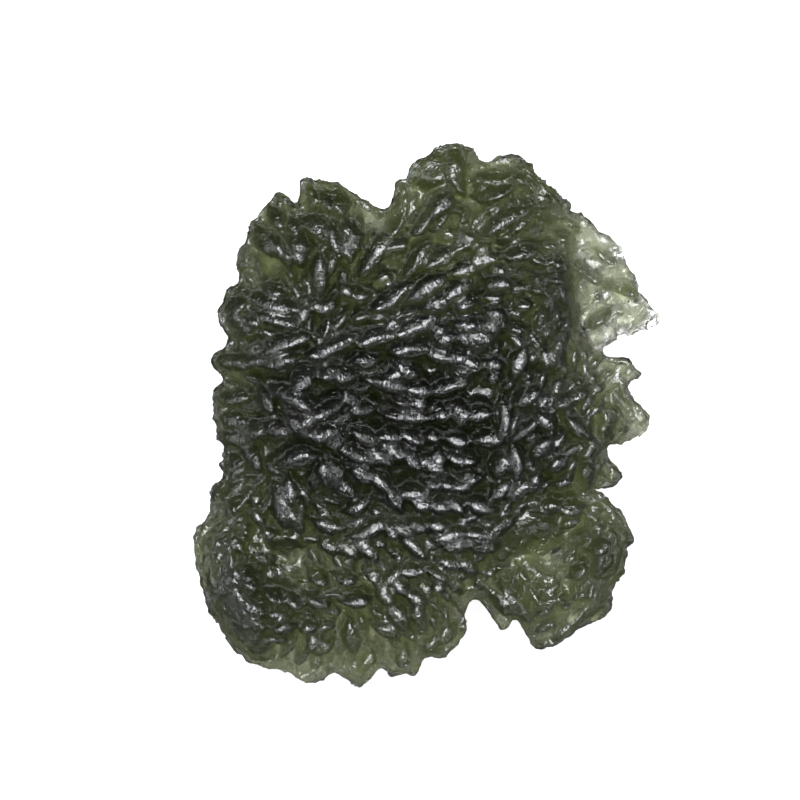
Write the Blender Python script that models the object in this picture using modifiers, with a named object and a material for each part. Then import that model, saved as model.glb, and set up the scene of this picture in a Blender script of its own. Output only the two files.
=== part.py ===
"""A moldavite: one natural piece of deeply etched green glass, lying on its back on a small flat spot.

The origin is under the middle of the stone, on the surface that it rests on. X runs to the right of the
sculptured face, Y towards its domed end, and Z up out of the face. The face's plan and its ridges are set
down in millimetres and turned into metres once, when the mesh takes them.
"""

import itertools
import math

import bpy
import numpy as np

MM = 0.001

# The outline of the stone seen from above, clockwise, in millimetres, stretch by stretch.
TOP_LEFT_CRAGS = [
    (-9.40, 6.55), (-9.35, 7.05), (-9.50, 7.50), (-9.40, 8.05), (-9.10, 8.45), (-8.95, 9.00),
    (-8.80, 9.60), (-8.35, 9.95), (-8.00, 10.50), (-7.75, 10.85), (-7.55, 11.12), (-7.25, 10.95),
    (-7.00, 10.80), (-6.80, 10.52), (-6.38, 10.40), (-6.33, 11.10), (-6.30, 11.60), (-6.00, 11.70),
    (-5.30, 11.52), (-4.45, 11.45), (-4.00, 11.10), (-3.50, 10.75), (-3.00, 10.50), (-2.75, 10.35),
    (-2.50, 10.10),
]
DOME = [
    (-2.10, 10.20), (-1.80, 10.42), (-1.65, 10.95), (-1.50, 11.55), (-1.35, 11.68), (-1.05, 11.60),
    (-0.98, 12.00), (-0.65, 12.45), (0.00, 12.88), (0.25, 13.20), (0.90, 13.36), (1.45, 13.50),
    (1.65, 13.30), (2.05, 13.20), (2.30, 12.80), (2.60, 12.62), (3.00, 12.52),
]
SHOULDER = [
    (3.40, 12.88), (4.10, 13.00), (4.60, 12.82), (5.10, 12.50), (5.25, 12.15), (5.80, 11.42),
    (6.40, 11.00), (6.60, 10.72), (6.90, 10.50), (6.85, 10.05),
]
PALE_FLANGE = [
    (7.40, 10.05), (7.80, 9.80), (8.15, 9.52), (8.50, 9.12), (8.80, 9.06), (9.20, 8.75), (9.55, 8.40),
    (9.72, 8.00), (9.95, 7.40), (10.25, 6.95), (10.40, 6.50), (10.30, 6.05), (10.80, 5.70),
    (11.00, 5.35), (11.40, 5.05), (11.52, 4.80), (11.40, 4.55), (10.90, 4.30), (10.20, 4.14),
    (9.60, 3.85), (9.00, 3.52), (8.52, 3.30),
]
RIGHT_TEETH = [
    (8.85, 2.98), (9.15, 2.78), (9.80, 2.76), (10.10, 2.45), (10.45, 2.10), (10.15, 1.92), (9.85, 1.72),
    (9.75, 1.40), (9.85, 1.05), (10.20, 0.70), (10.60, 0.35), (10.92, 0.00), (10.88, -0.50),
    (10.75, -0.80), (10.20, -0.95), (9.70, -1.20), (9.20, -1.40), (8.85, -1.45), (8.70, -1.65),
    (8.90, -2.00), (9.05, -2.32), (9.35, -2.55), (9.55, -3.02), (9.30, -3.30), (9.00, -3.45),
    (8.30, -3.45), (8.05, -3.60),
]
LOWER_RIGHT_LOBE = [
    (8.35, -3.85), (8.62, -4.00), (9.00, -4.40), (9.45, -4.85), (9.75, -5.30), (10.00, -5.70),
    (10.10, -6.15), (9.75, -6.48), (9.78, -6.85), (9.70, -7.35), (9.60, -7.80), (9.35, -8.00),
    (9.10, -8.30), (9.00, -8.65), (9.05, -9.10), (9.00, -9.60), (8.60, -9.90), (8.00, -10.20),
    (7.30, -10.50), (7.00, -10.75), (6.60, -11.15), (6.10, -11.40), (5.50, -11.56), (5.25, -11.45),
    (5.10, -11.00), (4.80, -10.52), (4.40, -10.05),
]
SCALLOP = [
    (4.10, -9.95), (3.95, -10.08), (3.75, -10.60), (3.60, -10.52), (3.30, -10.10), (2.90, -9.68),
    (2.60, -9.30), (2.35, -9.15), (2.05, -9.20), (1.85, -9.50), (1.80, -10.10), (1.75, -10.72),
]
BOTTOM_TEETH = [
    (1.40, -10.95), (1.30, -11.25), (1.05, -11.52), (0.80, -11.80), (0.50, -11.86), (0.10, -11.75),
    (-0.35, -11.90), (-0.60, -12.30), (-0.80, -12.75), (-1.05, -12.65), (-1.90, -12.72),
    (-2.15, -12.55), (-2.35, -12.42), (-2.60, -12.50), (-2.85, -12.85), (-3.35, -13.46),
    (-3.60, -13.38), (-3.78, -13.20), (-4.10, -13.05), (-4.40, -12.78), (-4.75, -12.64),
]
LOWER_LEFT_LOBE = [
    (-5.25, -12.92), (-5.60, -13.10), (-6.10, -13.10), (-6.50, -12.90), (-6.90, -12.60),
    (-7.40, -12.42), (-8.00, -12.35), (-8.40, -12.15), (-8.85, -12.10), (-9.20, -11.75),
    (-9.60, -11.45), (-9.80, -11.10), (-10.15, -10.75), (-10.35, -10.30), (-10.50, -9.95),
    (-10.80, -9.60), (-11.00, -9.10), (-11.15, -8.70), (-11.25, -8.30), (-11.35, -7.80),
    (-11.50, -7.40), (-11.50, -6.00), (-11.40, -5.55), (-11.00, -5.10), (-10.70, -4.75),
]
LEFT_FLANK = [
    (-10.75, -4.30), (-10.68, -4.02), (-10.85, -3.80), (-10.60, -3.50), (-10.20, -3.30),
    (-10.10, -3.00), (-10.15, -2.70), (-10.35, -2.42), (-10.10, -2.20), (-10.20, -1.90),
    (-10.15, -1.50), (-10.30, -1.22), (-10.50, -1.10), (-10.50, -0.80), (-10.40, -0.55),
    (-10.50, -0.25), (-10.75, -0.10), (-10.65, 0.20), (-10.65, 0.55), (-10.70, 1.00), (-10.60, 1.25),
    (-10.25, 1.52), (-10.15, 1.90), (-10.20, 2.15), (-10.60, 2.42), (-10.75, 2.70), (-10.70, 3.05),
    (-10.20, 3.30), (-9.92, 3.70), (-9.87, 4.00), (-10.10, 4.30), (-10.35, 4.80), (-10.45, 5.20),
    (-10.10, 5.70), (-10.00, 6.25),
]
OUTLINE = (
    TOP_LEFT_CRAGS + DOME + SHOULDER + PALE_FLANGE + RIGHT_TEETH + LOWER_RIGHT_LOBE
    + SCALLOP + BOTTOM_TEETH + LOWER_LEFT_LOBE + LEFT_FLANK
)

# The body's driving heights, in millimetres above the surface that it rests on.
SEAM_HEIGHT = 4.6  # where the face and the back meet, all round the outline
SEAM_WANDER = 0.6  # how far the seam strays up and down
FACE_RISE = 2.7  # the face's usual height over the seam
BACK_DROP = 1.3  # the back's usual depth under the seam
RIM_SHARE = 0.42  # the height of the blunt edge itself, as a share of the full height
FLANK_SLOPE = 1.45  # how steeply face and back leave that edge
BAND_SLOPE = 0.75  # how much steeper they are for each millimetre of bare flank

# Mounds and hollows: middle x and y, reach along x and y, and height, all in millimetres.
FACE_FORMS = {
    "central basin": (0.4, -0.6, 4.2, 5.0, -0.5),
    "left wall of fingers": (-6.4, 0.3, 1.7, 3.2, 1.2),
    "right wall": (5.6, -0.2, 1.5, 2.6, 0.9),
    "upper left crag": (-6.2, 8.8, 2.2, 1.9, 1.0),
    "shoulder": (4.9, 10.6, 2.0, 1.7, 0.8),
    "dome": (-0.2, 11.5, 1.4, 1.4, 1.2),
    "groove beside the dome": (2.1, 11.3, 0.9, 1.3, -1.5),
    "pale lump": (3.9, 12.4, 1.0, 0.6, -1.6),
    "flank of the shoulder": (6.3, 9.2, 0.9, 1.4, -1.0),
    "step beside the flange": (6.2, 5.9, 0.7, 1.9, 1.7),
    "slope below the flange": (7.0, 2.8, 1.6, 1.8, -0.7),
    "window in the flange": (9.55, 7.4, 0.5, 0.7, -0.2),
    "right teeth": (10.2, -0.4, 1.7, 3.8, -1.7),
    "lower left rim": (-9.2, -8.9, 2.1, 3.4, 1.5),
    "lower left facet": (-7.5, -6.7, 1.7, 1.4, -1.5),
    "bottom fringe": (-2.6, -12.4, 3.4, 1.8, -1.2),
    "lower right cup": (5.4, -7.0, 2.2, 2.0, -1.5),
    "lower right rim": (8.9, -7.6, 1.1, 2.6, 0.6),
    "scallop": (2.4, -9.4, 1.3, 1.6, -1.2),
}
BACK_FORMS = {
    "keel": (0.2, -1.0, 5.0, 5.6, 3.4),
    "left haunch": (-8.6, -9.4, 2.4, 2.8, 0.5),
    "left edge": (-8.8, 1.5, 1.8, 2.2, 1.8),
    "right teeth": (10.2, -0.4, 1.7, 3.8, -0.4),
    "hollow below the flange": (7.6, 2.8, 2.0, 1.8, -1.2),
    "hollow right of the keel": (8.2, 0.0, 1.6, 2.0, -1.0),
    "lower left facet": (-7.5, -6.7, 2.0, 1.8, -1.1),
    "lower right cup": (5.8, -7.2, 2.8, 2.8, -1.0),
    "bottom fringe": (-2.6, -12.4, 3.4, 1.8, -0.4),
    "upper green strip": (0.8, 8.2, 4.6, 2.1, -2.2),
    "lower green strip": (-2.0, -9.2, 5.0, 2.6, -1.8),
    "hollow beside the dome": (2.8, 11.4, 1.8, 1.6, -0.7),
}
# Level places with a steep step round them, given in the same way.
FACE_PLATES = {"pale flange": (9.5, 6.7, 2.6, 3.7, -2.25)}
BACK_PLATES = {"pale flange": (9.5, 6.7, 2.6, 3.7, -0.85)}
FLANGE_VEINS = [(7.1, 7.6, 8.4, 6.85), (8.4, 6.85, 10.3, 6.1), (8.0, 4.6, 8.9, 5.3), (8.2, 8.4, 8.9, 7.9)]
PITS = {
    "hole in the crag": (-7.65, 7.15, 0.60, 0.55, -1.5),
    "hollow under the saddle": (-2.6, 9.55, 0.65, 0.40, -1.0),
    "bubble": (4.60, 10.95, 0.30, 0.38, -0.8),
    "small bubble": (5.40, 11.00, 0.22, 0.20, -0.5),
}

# Facets that face down the stone, away from the light: middle, reach along x and y, and the rise per
# millimetre along x and y.
FACE_TILTS = {
    "lower left facet": (-7.4, -6.9, 1.7, 1.5, -0.15, 0.45),
    "lower right cup": (5.2, -5.9, 2.0, 1.6, 0.0, 0.5),
    "dome": (0.1, 12.0, 1.3, 1.2, 0.2, 0.3),
    "saddle": (-1.9, 7.2, 1.0, 1.0, 0.0, 0.35),
    "upper window": (0.6, 8.8, 1.0, 0.7, 0.0, 0.35),
    "right window": (3.8, 8.6, 1.0, 0.6, 0.0, 0.35),
}
# Bands of bare, layered flank inside the outline: middle, reach, and the band's width.
# Open places between the listed ridges, which take no filling ridges: middle, reach along x and y.
OPEN_PLACES = [
    (-1.6, 7.0, 2.6, 1.5), (1.0, 8.6, 2.2, 0.8), (3.8, 8.6, 1.4, 0.7), (-3.4, 5.6, 1.4, 0.7),
    (-7.5, -6.8, 1.8, 1.4), (5.4, -6.0, 1.8, 1.6), (0.0, 11.8, 1.6, 1.5), (-2.4, -8.6, 2.0, 0.8),
    (0.3, 0.6, 3.6, 2.8), (0.8, -2.6, 3.0, 2.0), (-6.6, 0.2, 2.2, 3.0),
]
FLANK_BANDS = [
    (-9.8, -9.0, 2.6, 4.6, 2.2), (-3.0, -13.2, 4.0, 1.6, 0.7), (9.2, -8.4, 1.9, 3.6, 1.3),
    (6.2, 11.4, 2.2, 1.6, 0.9), (0.4, 13.2, 2.4, 1.2, 0.5), (9.0, -1.0, 2.2, 3.6, 0.4),
]

# The face's ridges, end to end in millimetres: x and y of one end, then of the other.
FAN_RIDGES = [
    (-5.45, 7.80, -5.35, 6.10), (-4.65, 9.40, -4.55, 7.90), (-5.60, 9.75, -5.25, 8.80),
    (-6.00, 9.70, -5.75, 9.10), (-6.65, 9.60, -6.45, 9.00), (-4.15, 9.60, -3.35, 8.90),
    (-3.95, 9.00, -3.55, 8.30), (-4.15, 8.60, -4.00, 7.70), (-6.70, 8.60, -5.95, 8.30),
    (-7.05, 8.10, -6.85, 7.50), (-6.40, 8.20, -6.20, 7.60), (-8.00, 6.55, -7.20, 6.15),
    (-8.30, 5.15, -6.50, 4.40), (-8.70, 6.00, -6.40, 5.20), (-9.80, 5.40, -9.00, 5.80),
    (-8.85, 4.85, -8.25, 4.60), (-9.70, 5.20, -9.30, 4.60), (-9.25, 4.55, -8.70, 4.20),
    (-5.95, 5.80, -6.30, 4.70), (-5.55, 5.75, -5.35, 5.30), (-5.10, 5.20, -4.70, 5.80),
    (-4.25, 6.40, -4.00, 6.00), (-3.75, 5.90, -3.05, 6.05), (-8.20, 3.00, -5.80, 4.00),
    (-5.80, 3.00, -3.50, 4.05), (-8.60, 9.30, -7.90, 8.00), (-8.20, 8.90, -7.20, 7.90),
    (-7.90, 10.30, -7.30, 9.30), (-5.20, 11.20, -4.90, 10.10), (-4.50, 11.20, -4.40, 10.00),
    (-5.90, 11.30, -5.70, 10.20),
]
SADDLE_RIDGES = [
    (-3.35, 7.05, -1.95, 9.00), (-1.90, 9.10, -1.35, 11.20), (-2.00, 8.10, -1.35, 8.70),
    (-0.80, 9.10, 0.00, 9.80), (0.00, 9.75, 1.00, 10.90), (-1.30, 6.90, 0.00, 8.40),
    (-0.10, 7.30, 1.20, 8.10), (1.20, 8.15, 2.20, 9.05), (2.20, 8.15, 2.75, 8.45),
    (1.90, 7.65, 3.20, 7.90), (3.60, 7.90, 5.10, 8.10), (1.10, 7.00, 2.40, 7.40),
    (-2.80, 5.20, -1.10, 6.35), (-0.90, 5.80, 0.70, 6.75), (0.70, 5.80, 2.00, 6.60),
    (1.30, 5.55, 2.20, 5.65), (2.90, 6.70, 3.80, 6.35), (2.60, 9.10, 4.80, 10.30),
    (-3.40, 3.60, -1.60, 4.05), (-1.65, 4.00, 0.20, 4.85), (0.00, 4.10, 0.65, 4.45),
    (1.30, 4.65, 2.30, 4.35), (2.50, 4.60, 3.30, 4.05), (2.90, 4.85, 3.70, 4.45),
    (2.70, 5.15, 3.60, 4.95), (-0.30, 5.30, 1.00, 5.75), (1.20, 13.20, 1.60, 11.00),
    (2.20, 11.60, 4.20, 12.10), (2.20, 10.90, 4.00, 11.20), (4.00, 12.00, 6.30, 10.80),
]
BASIN_RIDGES = [
    (0.20, 3.75, 1.30, 3.85), (1.50, 3.80, 3.00, 3.80), (-1.80, 3.20, -0.10, 3.50),
    (-0.10, 3.15, 1.00, 2.95), (0.95, 2.85, 1.75, 3.00), (1.55, 2.80, 2.45, 2.50),
    (1.20, 2.30, 2.00, 2.35), (2.70, 2.65, 3.50, 2.50), (-3.50, 2.65, -2.60, 2.85),
    (-1.60, 2.65, -0.70, 2.10), (-3.00, 1.85, -1.00, 1.50), (-1.00, 1.45, -0.05, 1.25),
    (0.05, 1.25, 1.90, 1.65), (-1.60, 0.80, -0.90, 0.70), (-0.80, 0.75, -0.15, 0.60),
    (-3.70, 0.25, -2.70, 0.40), (-2.10, 0.00, 0.15, 0.05), (0.30, 0.15, 0.95, 0.30),
    (1.10, 0.55, 1.90, 0.15), (1.20, 0.10, 1.70, -0.15), (1.95, 0.05, 3.00, 0.20),
    (-3.60, -0.85, -2.60, -1.30), (-2.40, -1.00, -1.40, -0.95), (-1.30, -0.90, -0.30, -1.30),
    (-0.10, -1.00, 0.55, -1.00), (0.85, -1.00, 1.80, -1.30), (2.00, -1.20, 3.60, -1.10),
    (-4.40, -1.55, -2.70, -2.25), (-2.85, -1.60, -1.90, -2.30), (-2.00, -1.50, -1.20, -1.95),
    (-1.20, -1.70, -0.50, -2.35), (-0.30, -2.05, 0.70, -2.50), (0.20, -2.00, 0.80, -1.90),
    (1.00, -1.90, 2.30, -2.25), (-3.80, -2.60, -2.80, -3.10), (-2.75, -2.90, -2.00, -3.60),
    (-2.05, -3.55, -1.40, -4.40), (-0.20, -3.05, 0.50, -3.30), (0.65, -3.10, 1.25, -3.45),
    (1.20, -3.45, 2.05, -3.25), (1.65, -2.90, 2.50, -3.00), (-1.50, -3.75, -0.20, -3.60),
    (-0.80, -4.10, 0.00, -4.20), (0.00, -4.15, 1.00, -4.35), (1.05, -4.00, 1.55, -4.60),
    (1.80, -4.15, 3.00, -4.50), (-0.90, -5.00, -0.20, -5.40), (0.00, -5.05, 0.70, -5.25),
    (3.00, -3.90, 3.80, -3.20), (3.90, -3.90, 4.75, -3.20), (3.10, -5.80, 3.90, -5.00),
    (-2.00, 2.00, -1.20, 2.30),
]
SIDE_RIDGES = [
    (-10.65, 2.85, -8.30, 2.75), (-8.10, 2.50, -6.60, 2.80), (-10.50, 1.10, -9.10, 1.00),
    (-8.35, 1.50, -7.80, 0.20), (-9.30, -1.30, -8.30, -2.40), (-8.20, -0.50, -7.00, -0.90),
    (-9.30, -0.50, -8.30, -0.85), (-6.70, 1.40, -5.60, 2.30), (-7.60, 1.50, -5.75, 0.35),
    (-6.80, -0.10, -6.10, -0.85), (-5.50, 0.10, -4.10, 0.75), (-5.75, -0.90, -4.25, -0.60),
    (-4.05, 1.20, -3.45, 0.60), (-7.20, -2.20, -5.60, -1.80), (-5.30, -2.20, -5.05, -3.10),
    (-5.25, 2.05, -4.35, 2.40), (-4.50, 1.90, -3.50, 2.05), (-6.15, -0.40, -5.50, 0.05),
    (-4.85, -1.30, -4.10, -1.10), (-4.85, -2.20, -4.35, -3.00), (-4.75, -3.05, -3.70, -3.60),
    (-3.95, -4.45, -3.05, -4.10), (-10.20, -2.75, -9.30, -2.60), (-7.45, -3.20, -7.05, -5.20),
    (-6.80, -3.00, -6.90, -4.10), (-6.95, -4.30, -6.30, -5.40), (-10.65, -0.05, -9.20, -0.20),
    (-10.40, -0.95, -9.00, -1.00), (-10.20, -2.30, -9.20, -2.10), (-10.70, -3.80, -9.20, -3.20),
    (-9.90, -4.60, -8.70, -3.60), (4.10, -1.00, 5.00, -0.15), (4.15, -1.40, 4.15, -2.90),
    (4.20, 0.70, 5.20, 1.30), (3.60, 0.90, 3.50, -1.00), (3.60, -1.70, 3.30, -2.80),
    (2.90, 1.90, 3.40, 2.20), (6.20, 0.60, 7.00, 1.20), (7.10, 1.00, 7.60, 1.50),
    (6.75, -0.15, 7.80, -1.05), (5.10, -2.00, 5.90, -1.10), (5.10, 0.30, 5.90, -0.50),
    (9.10, 0.40, 8.65, -0.40), (8.65, -0.40, 8.60, -1.20), (8.50, -1.20, 7.50, -1.80),
    (7.95, -2.20, 7.60, -2.90), (7.60, -2.90, 8.00, -3.40), (6.40, 3.60, 6.30, 2.60),
    (5.60, 3.30, 5.90, 2.60), (4.20, 2.00, 4.70, 3.40), (5.90, -2.60, 6.60, -2.00),
    (4.90, -3.50, 5.20, -2.90),
]
LOWER_RIDGES = [
    (-7.90, -5.50, -6.85, -6.60), (-7.00, -5.75, -6.30, -6.10), (-5.20, -5.90, -4.50, -6.50),
    (-4.35, -6.00, -3.65, -6.80), (-5.90, -7.20, -5.15, -8.00), (-6.00, -8.60, -5.10, -9.15),
    (-6.95, -8.60, -6.30, -9.05), (-7.90, -8.60, -7.20, -8.90), (-8.80, -7.30, -8.50, -8.30),
    (-6.20, -10.40, -5.60, -10.15), (-7.30, -10.20, -6.70, -10.15), (-5.80, -11.30, -5.40, -10.80),
    (-5.40, -11.50, -4.80, -11.05), (-5.50, -5.00, -4.30, -5.30), (-3.90, -5.80, -2.10, -5.10),
    (-4.50, -7.65, -3.80, -7.90), (-4.20, -9.00, -3.00, -8.80), (-3.60, -5.90, -2.80, -6.70),
    (-1.20, -5.80, -0.30, -6.80), (-2.10, -5.10, -1.70, -5.85), (-1.60, -5.10, -1.00, -5.60),
    (0.20, -5.90, 1.80, -5.60), (1.80, -5.70, 3.30, -5.80), (0.60, -6.25, 2.10, -6.10),
    (2.00, -6.20, 3.40, -6.35), (0.40, -6.95, 1.50, -7.30), (1.50, -6.90, 2.20, -7.50),
    (-1.30, -7.50, -0.20, -7.45), (-0.10, -7.40, 0.70, -7.90), (-2.20, -8.00, -1.20, -7.30),
    (-2.40, -8.00, -1.85, -8.95), (-2.90, -7.20, -2.65, -7.90), (-1.60, -7.90, -1.10, -8.60),
    (0.20, -8.10, 0.55, -8.50), (-1.00, -8.70, -0.30, -9.10), (-1.90, -9.30, -1.20, -10.10),
    (-0.70, -9.30, -0.55, -9.90), (-0.20, -11.60, 0.20, -10.90), (0.60, -10.90, 1.30, -10.10),
    (-2.60, -10.20, -1.60, -10.50), (-3.90, -10.00, -3.70, -11.40), (-3.20, -12.90, -2.90, -11.60),
    (-1.30, -12.40, -1.20, -11.30), (5.30, -4.60, 6.45, -4.25), (6.60, -4.60, 7.55, -4.40),
    (8.05, -6.40, 8.90, -6.20), (6.95, -7.85, 7.60, -7.40), (8.60, -6.60, 8.30, -8.00),
    (9.30, -6.60, 9.00, -8.00), (7.80, -8.90, 8.60, -8.20), (6.80, -10.20, 8.60, -9.60),
    (6.20, -10.90, 7.00, -10.10), (3.60, -8.30, 4.90, -10.00), (3.00, -8.60, 4.40, -9.80),
]
FACE_RIDGES = FAN_RIDGES + SADDLE_RIDGES + BASIN_RIDGES + SIDE_RIDGES + LOWER_RIDGES

# Places where the face stays smooth, or takes only fine sculpture: middle, reach along x and y.
SMOOTH_PLACES = [
    (-7.3, -7.1, 1.3, 1.0), (0.1, 12.0, 1.3, 1.1), (-1.6, 7.7, 0.6, 0.5), (1.0, 8.7, 0.7, 0.4),
    (8.8, 6.8, 2.4, 3.2), (10.0, -0.4, 1.4, 3.8), (5.2, -6.0, 1.8, 1.6), (2.2, -8.9, 0.9, 0.7),
    (3.8, 8.6, 0.9, 0.4), (-2.2, 6.6, 0.6, 0.5),
]
RIDGE_HALF_WIDTH = 0.44
RIDGE_HEIGHT = 0.62  # from the middle of a ridge's flank to its crest
CREVICE_DEPTH = 0.75  # from there down to the deepest crevices
RIDGE_ROUNDNESS = 3.2  # 2 is a round crest, more is a broader one with steeper flanks
RIDGE_TILT = 0.12  # how far a crest leans towards the domed end
VEIN_HEIGHT = 1.5
RIDGE_TAPER = 0.45  # how much narrower a ridge is at its ends
DEEPEST = -1.5
WANDER = 0.12
LEAN = (0.06, -0.30)
FILL_SPACING = 0.36
FILL_LENGTH = 0.9
FILL_GAP = 0.46  # a filling ridge begins no nearer than this to its neighbours
FILL_PROMINENCE = 0.15  # a filling ridge's crest as a share of a listed one's
BACK_RIDGE_SPACING = 1.15
BACK_RIDGE_HEIGHT = 0.45
BACK_RIDGE_HALF_WIDTH = 0.55
SEED = 7

SLAB_HALF = 0.5
SLAB_VOXEL = 0.12
SKIN_VOXEL = 0.15
BACK_SHARE = 0.74  # of the even faces, how many stay after the back alone is thinned
FACES = 9500
FLOOR_LEVEL = -0.50  # the surface that the stone rests on, in the heights' own measure


def clear_scene():
    for old in list(bpy.data.objects):
        bpy.data.objects.remove(old)


def modifier(obj, kind, **settings):
    """Adds one modifier and applies it straight away."""
    added = obj.modifiers.new(kind.title(), kind)
    for name, value in settings.items():
        setattr(added, name, value)
    graph = bpy.context.evaluated_depsgraph_get()
    applied = bpy.data.meshes.new_from_object(obj.evaluated_get(graph))
    obj.modifiers.clear()
    obj.data = applied


def outline_slab(collection):
    """The outline as a flat plate, remeshed into small even faces that can be sculptured."""
    curve = bpy.data.curves.new("outline", "CURVE")
    curve.dimensions = "2D"
    curve.fill_mode = "BOTH"
    curve.extrude = SLAB_HALF * MM
    spline = curve.splines.new("POLY")
    spline.points.add(len(OUTLINE) - 1)
    for point, (x, y) in zip(spline.points, OUTLINE):
        point.co = (x * MM, y * MM, 0.0, 1.0)
    spline.use_cyclic_u = True
    plate = bpy.data.objects.new("outline", curve)
    collection.objects.link(plate)
    graph = bpy.context.evaluated_depsgraph_get()
    stone = bpy.data.objects.new("moldavite", bpy.data.meshes.new_from_object(plate.evaluated_get(graph)))
    collection.objects.link(stone)
    bpy.data.objects.remove(plate)
    modifier(stone, "REMESH", mode="VOXEL", voxel_size=SLAB_VOXEL * MM)
    return stone


def points_of(obj):
    """The mesh's points in millimetres, one row each."""
    flat = np.empty(len(obj.data.vertices) * 3)
    obj.data.vertices.foreach_get("co", flat)
    return flat.reshape(-1, 3) / MM


def move_points(obj, points):
    obj.data.vertices.foreach_set("co", (points * MM).ravel())
    obj.data.update()


def forms_at(x, y, forms):
    """The sum of some mounds and hollows."""
    total = np.zeros_like(x)
    for middle_x, middle_y, reach_x, reach_y, height in forms.values():
        total += height * np.exp(-(((x - middle_x) / reach_x) ** 2) - ((y - middle_y) / reach_y) ** 2)
    return total


def plates_at(x, y, plates):
    """The sum of some level places, each nearly square, with a steep step round it."""
    total = np.zeros_like(x)
    for middle_x, middle_y, reach_x, reach_y, height in plates.values():
        away = ((x - middle_x) / reach_x) ** 4 + ((y - middle_y) / reach_y) ** 4
        total += height * np.exp(-(away**3))
    return total


def tilts_at(x, y, tilts):
    """The sum of some tilted facets, each level at its middle and fading out round it."""
    total = np.zeros_like(x)
    for middle_x, middle_y, reach_x, reach_y, rise_x, rise_y in tilts.values():
        from_x, from_y = x - middle_x, y - middle_y
        share = np.exp(-((from_x / reach_x) ** 2) - (from_y / reach_y) ** 2)
        total += (rise_x * from_x + rise_y * from_y) * share
    return total


def distance_to_outline(x, y):
    """How far each point lies inside the outline."""
    nearest = np.full_like(x, 1e9)
    for (ax, ay), (bx, by) in zip(OUTLINE, OUTLINE[1:] + OUTLINE[:1]):
        span_x, span_y = bx - ax, by - ay
        along = ((x - ax) * span_x + (y - ay) * span_y) / (span_x**2 + span_y**2)
        along = np.clip(along, 0, 1)
        nearest = np.minimum(nearest, np.hypot(x - ax - along * span_x, y - ay - along * span_y))
    return nearest


def inside_outline(x, y):
    inside = False
    for (ax, ay), (bx, by) in zip(OUTLINE, OUTLINE[1:] + OUTLINE[:1]):
        if (ay > y) != (by > y) and x < ax + (y - ay) * (bx - ax) / (by - ay):
            inside = not inside
    return inside


def flank_width(x, y):
    """How wide the bare band inside the outline is near each point."""
    width = np.full_like(x, 0.15)
    for middle_x, middle_y, reach_x, reach_y, most in FLANK_BANDS:
        away = ((x - middle_x) / reach_x) ** 2 + ((y - middle_y) / reach_y) ** 2
        width = np.maximum(width, most * np.exp(-(away**2)))
    return width


def clear_of_flank(x, y, inside):
    """0 on the bare flank to 1 on the ridged face."""
    return np.clip((inside - flank_width(x, y)) / 0.5 + 0.5, 0, 1)


def swell(inside, height, slope):
    """Height over the seam: steep from the blunt edge, then level."""
    height = np.maximum(height, 0.2)
    rise = slope * inside / height
    return height * (RIM_SHARE + (1 - RIM_SHARE) * rise / (1 + rise**4) ** 0.25)


def ridge_relief(x, y, ridges, half_width):
    """The ridges' relief, from DEEPEST in the crevices over 0 on the flanks to 1 on the crests."""
    relief = np.full_like(x, DEEPEST)
    for ax, ay, bx, by, prominence, width in ridges:
        length = math.hypot(bx - ax, by - ay)
        along_x, along_y = (bx - ax) / length, (by - ay) / length
        half = half_width * width
        reach = length / 2 + 2 * half
        near = np.flatnonzero((np.abs(x - (ax + bx) / 2) < reach) & (np.abs(y - (ay + by) / 2) < reach))
        from_x, from_y = x[near] - (ax + bx) / 2, y[near] - (ay + by) / 2
        along = from_x * along_x + from_y * along_y
        across = from_y * along_x - from_x * along_y
        beyond = np.maximum(np.abs(along) - length / 2 + 0.6 * half, 0)
        to_end = np.minimum((2 * along / length) ** 2, 1)
        away = np.hypot(across / (1 - RIDGE_TAPER * to_end), beyond * 0.8) / half
        arch = 1 - 0.22 * to_end * min(length / 2, 1)
        tilt = RIDGE_TILT * prominence * np.clip(from_y / half, -2, 2)
        height = arch * prominence - away**RIDGE_ROUNDNESS - tilt
        relief[near] = np.maximum(relief[near], height)
    return relief


def wander(x, y):
    """The places with a slight wander, so that straight ridges come out bowed."""
    plan = np.column_stack([x, y, np.zeros_like(x)])
    return x + WANDER * lumps(plan, 1.3, 31), y + WANDER * lumps(plan, 1.3, 37)


def smooth_share(x, y):
    """0 in the smooth places to 1 well away from them."""
    share = np.ones_like(x)
    for middle_x, middle_y, reach_x, reach_y in SMOOTH_PLACES:
        away = ((x - middle_x) / reach_x) ** 2 + ((y - middle_y) / reach_y) ** 2
        share *= 1 - np.exp(-(away**2))
    return share * (1 - plates_at(x, y, FACE_PLATES) / min(plate[4] for plate in FACE_PLATES.values()))


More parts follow.
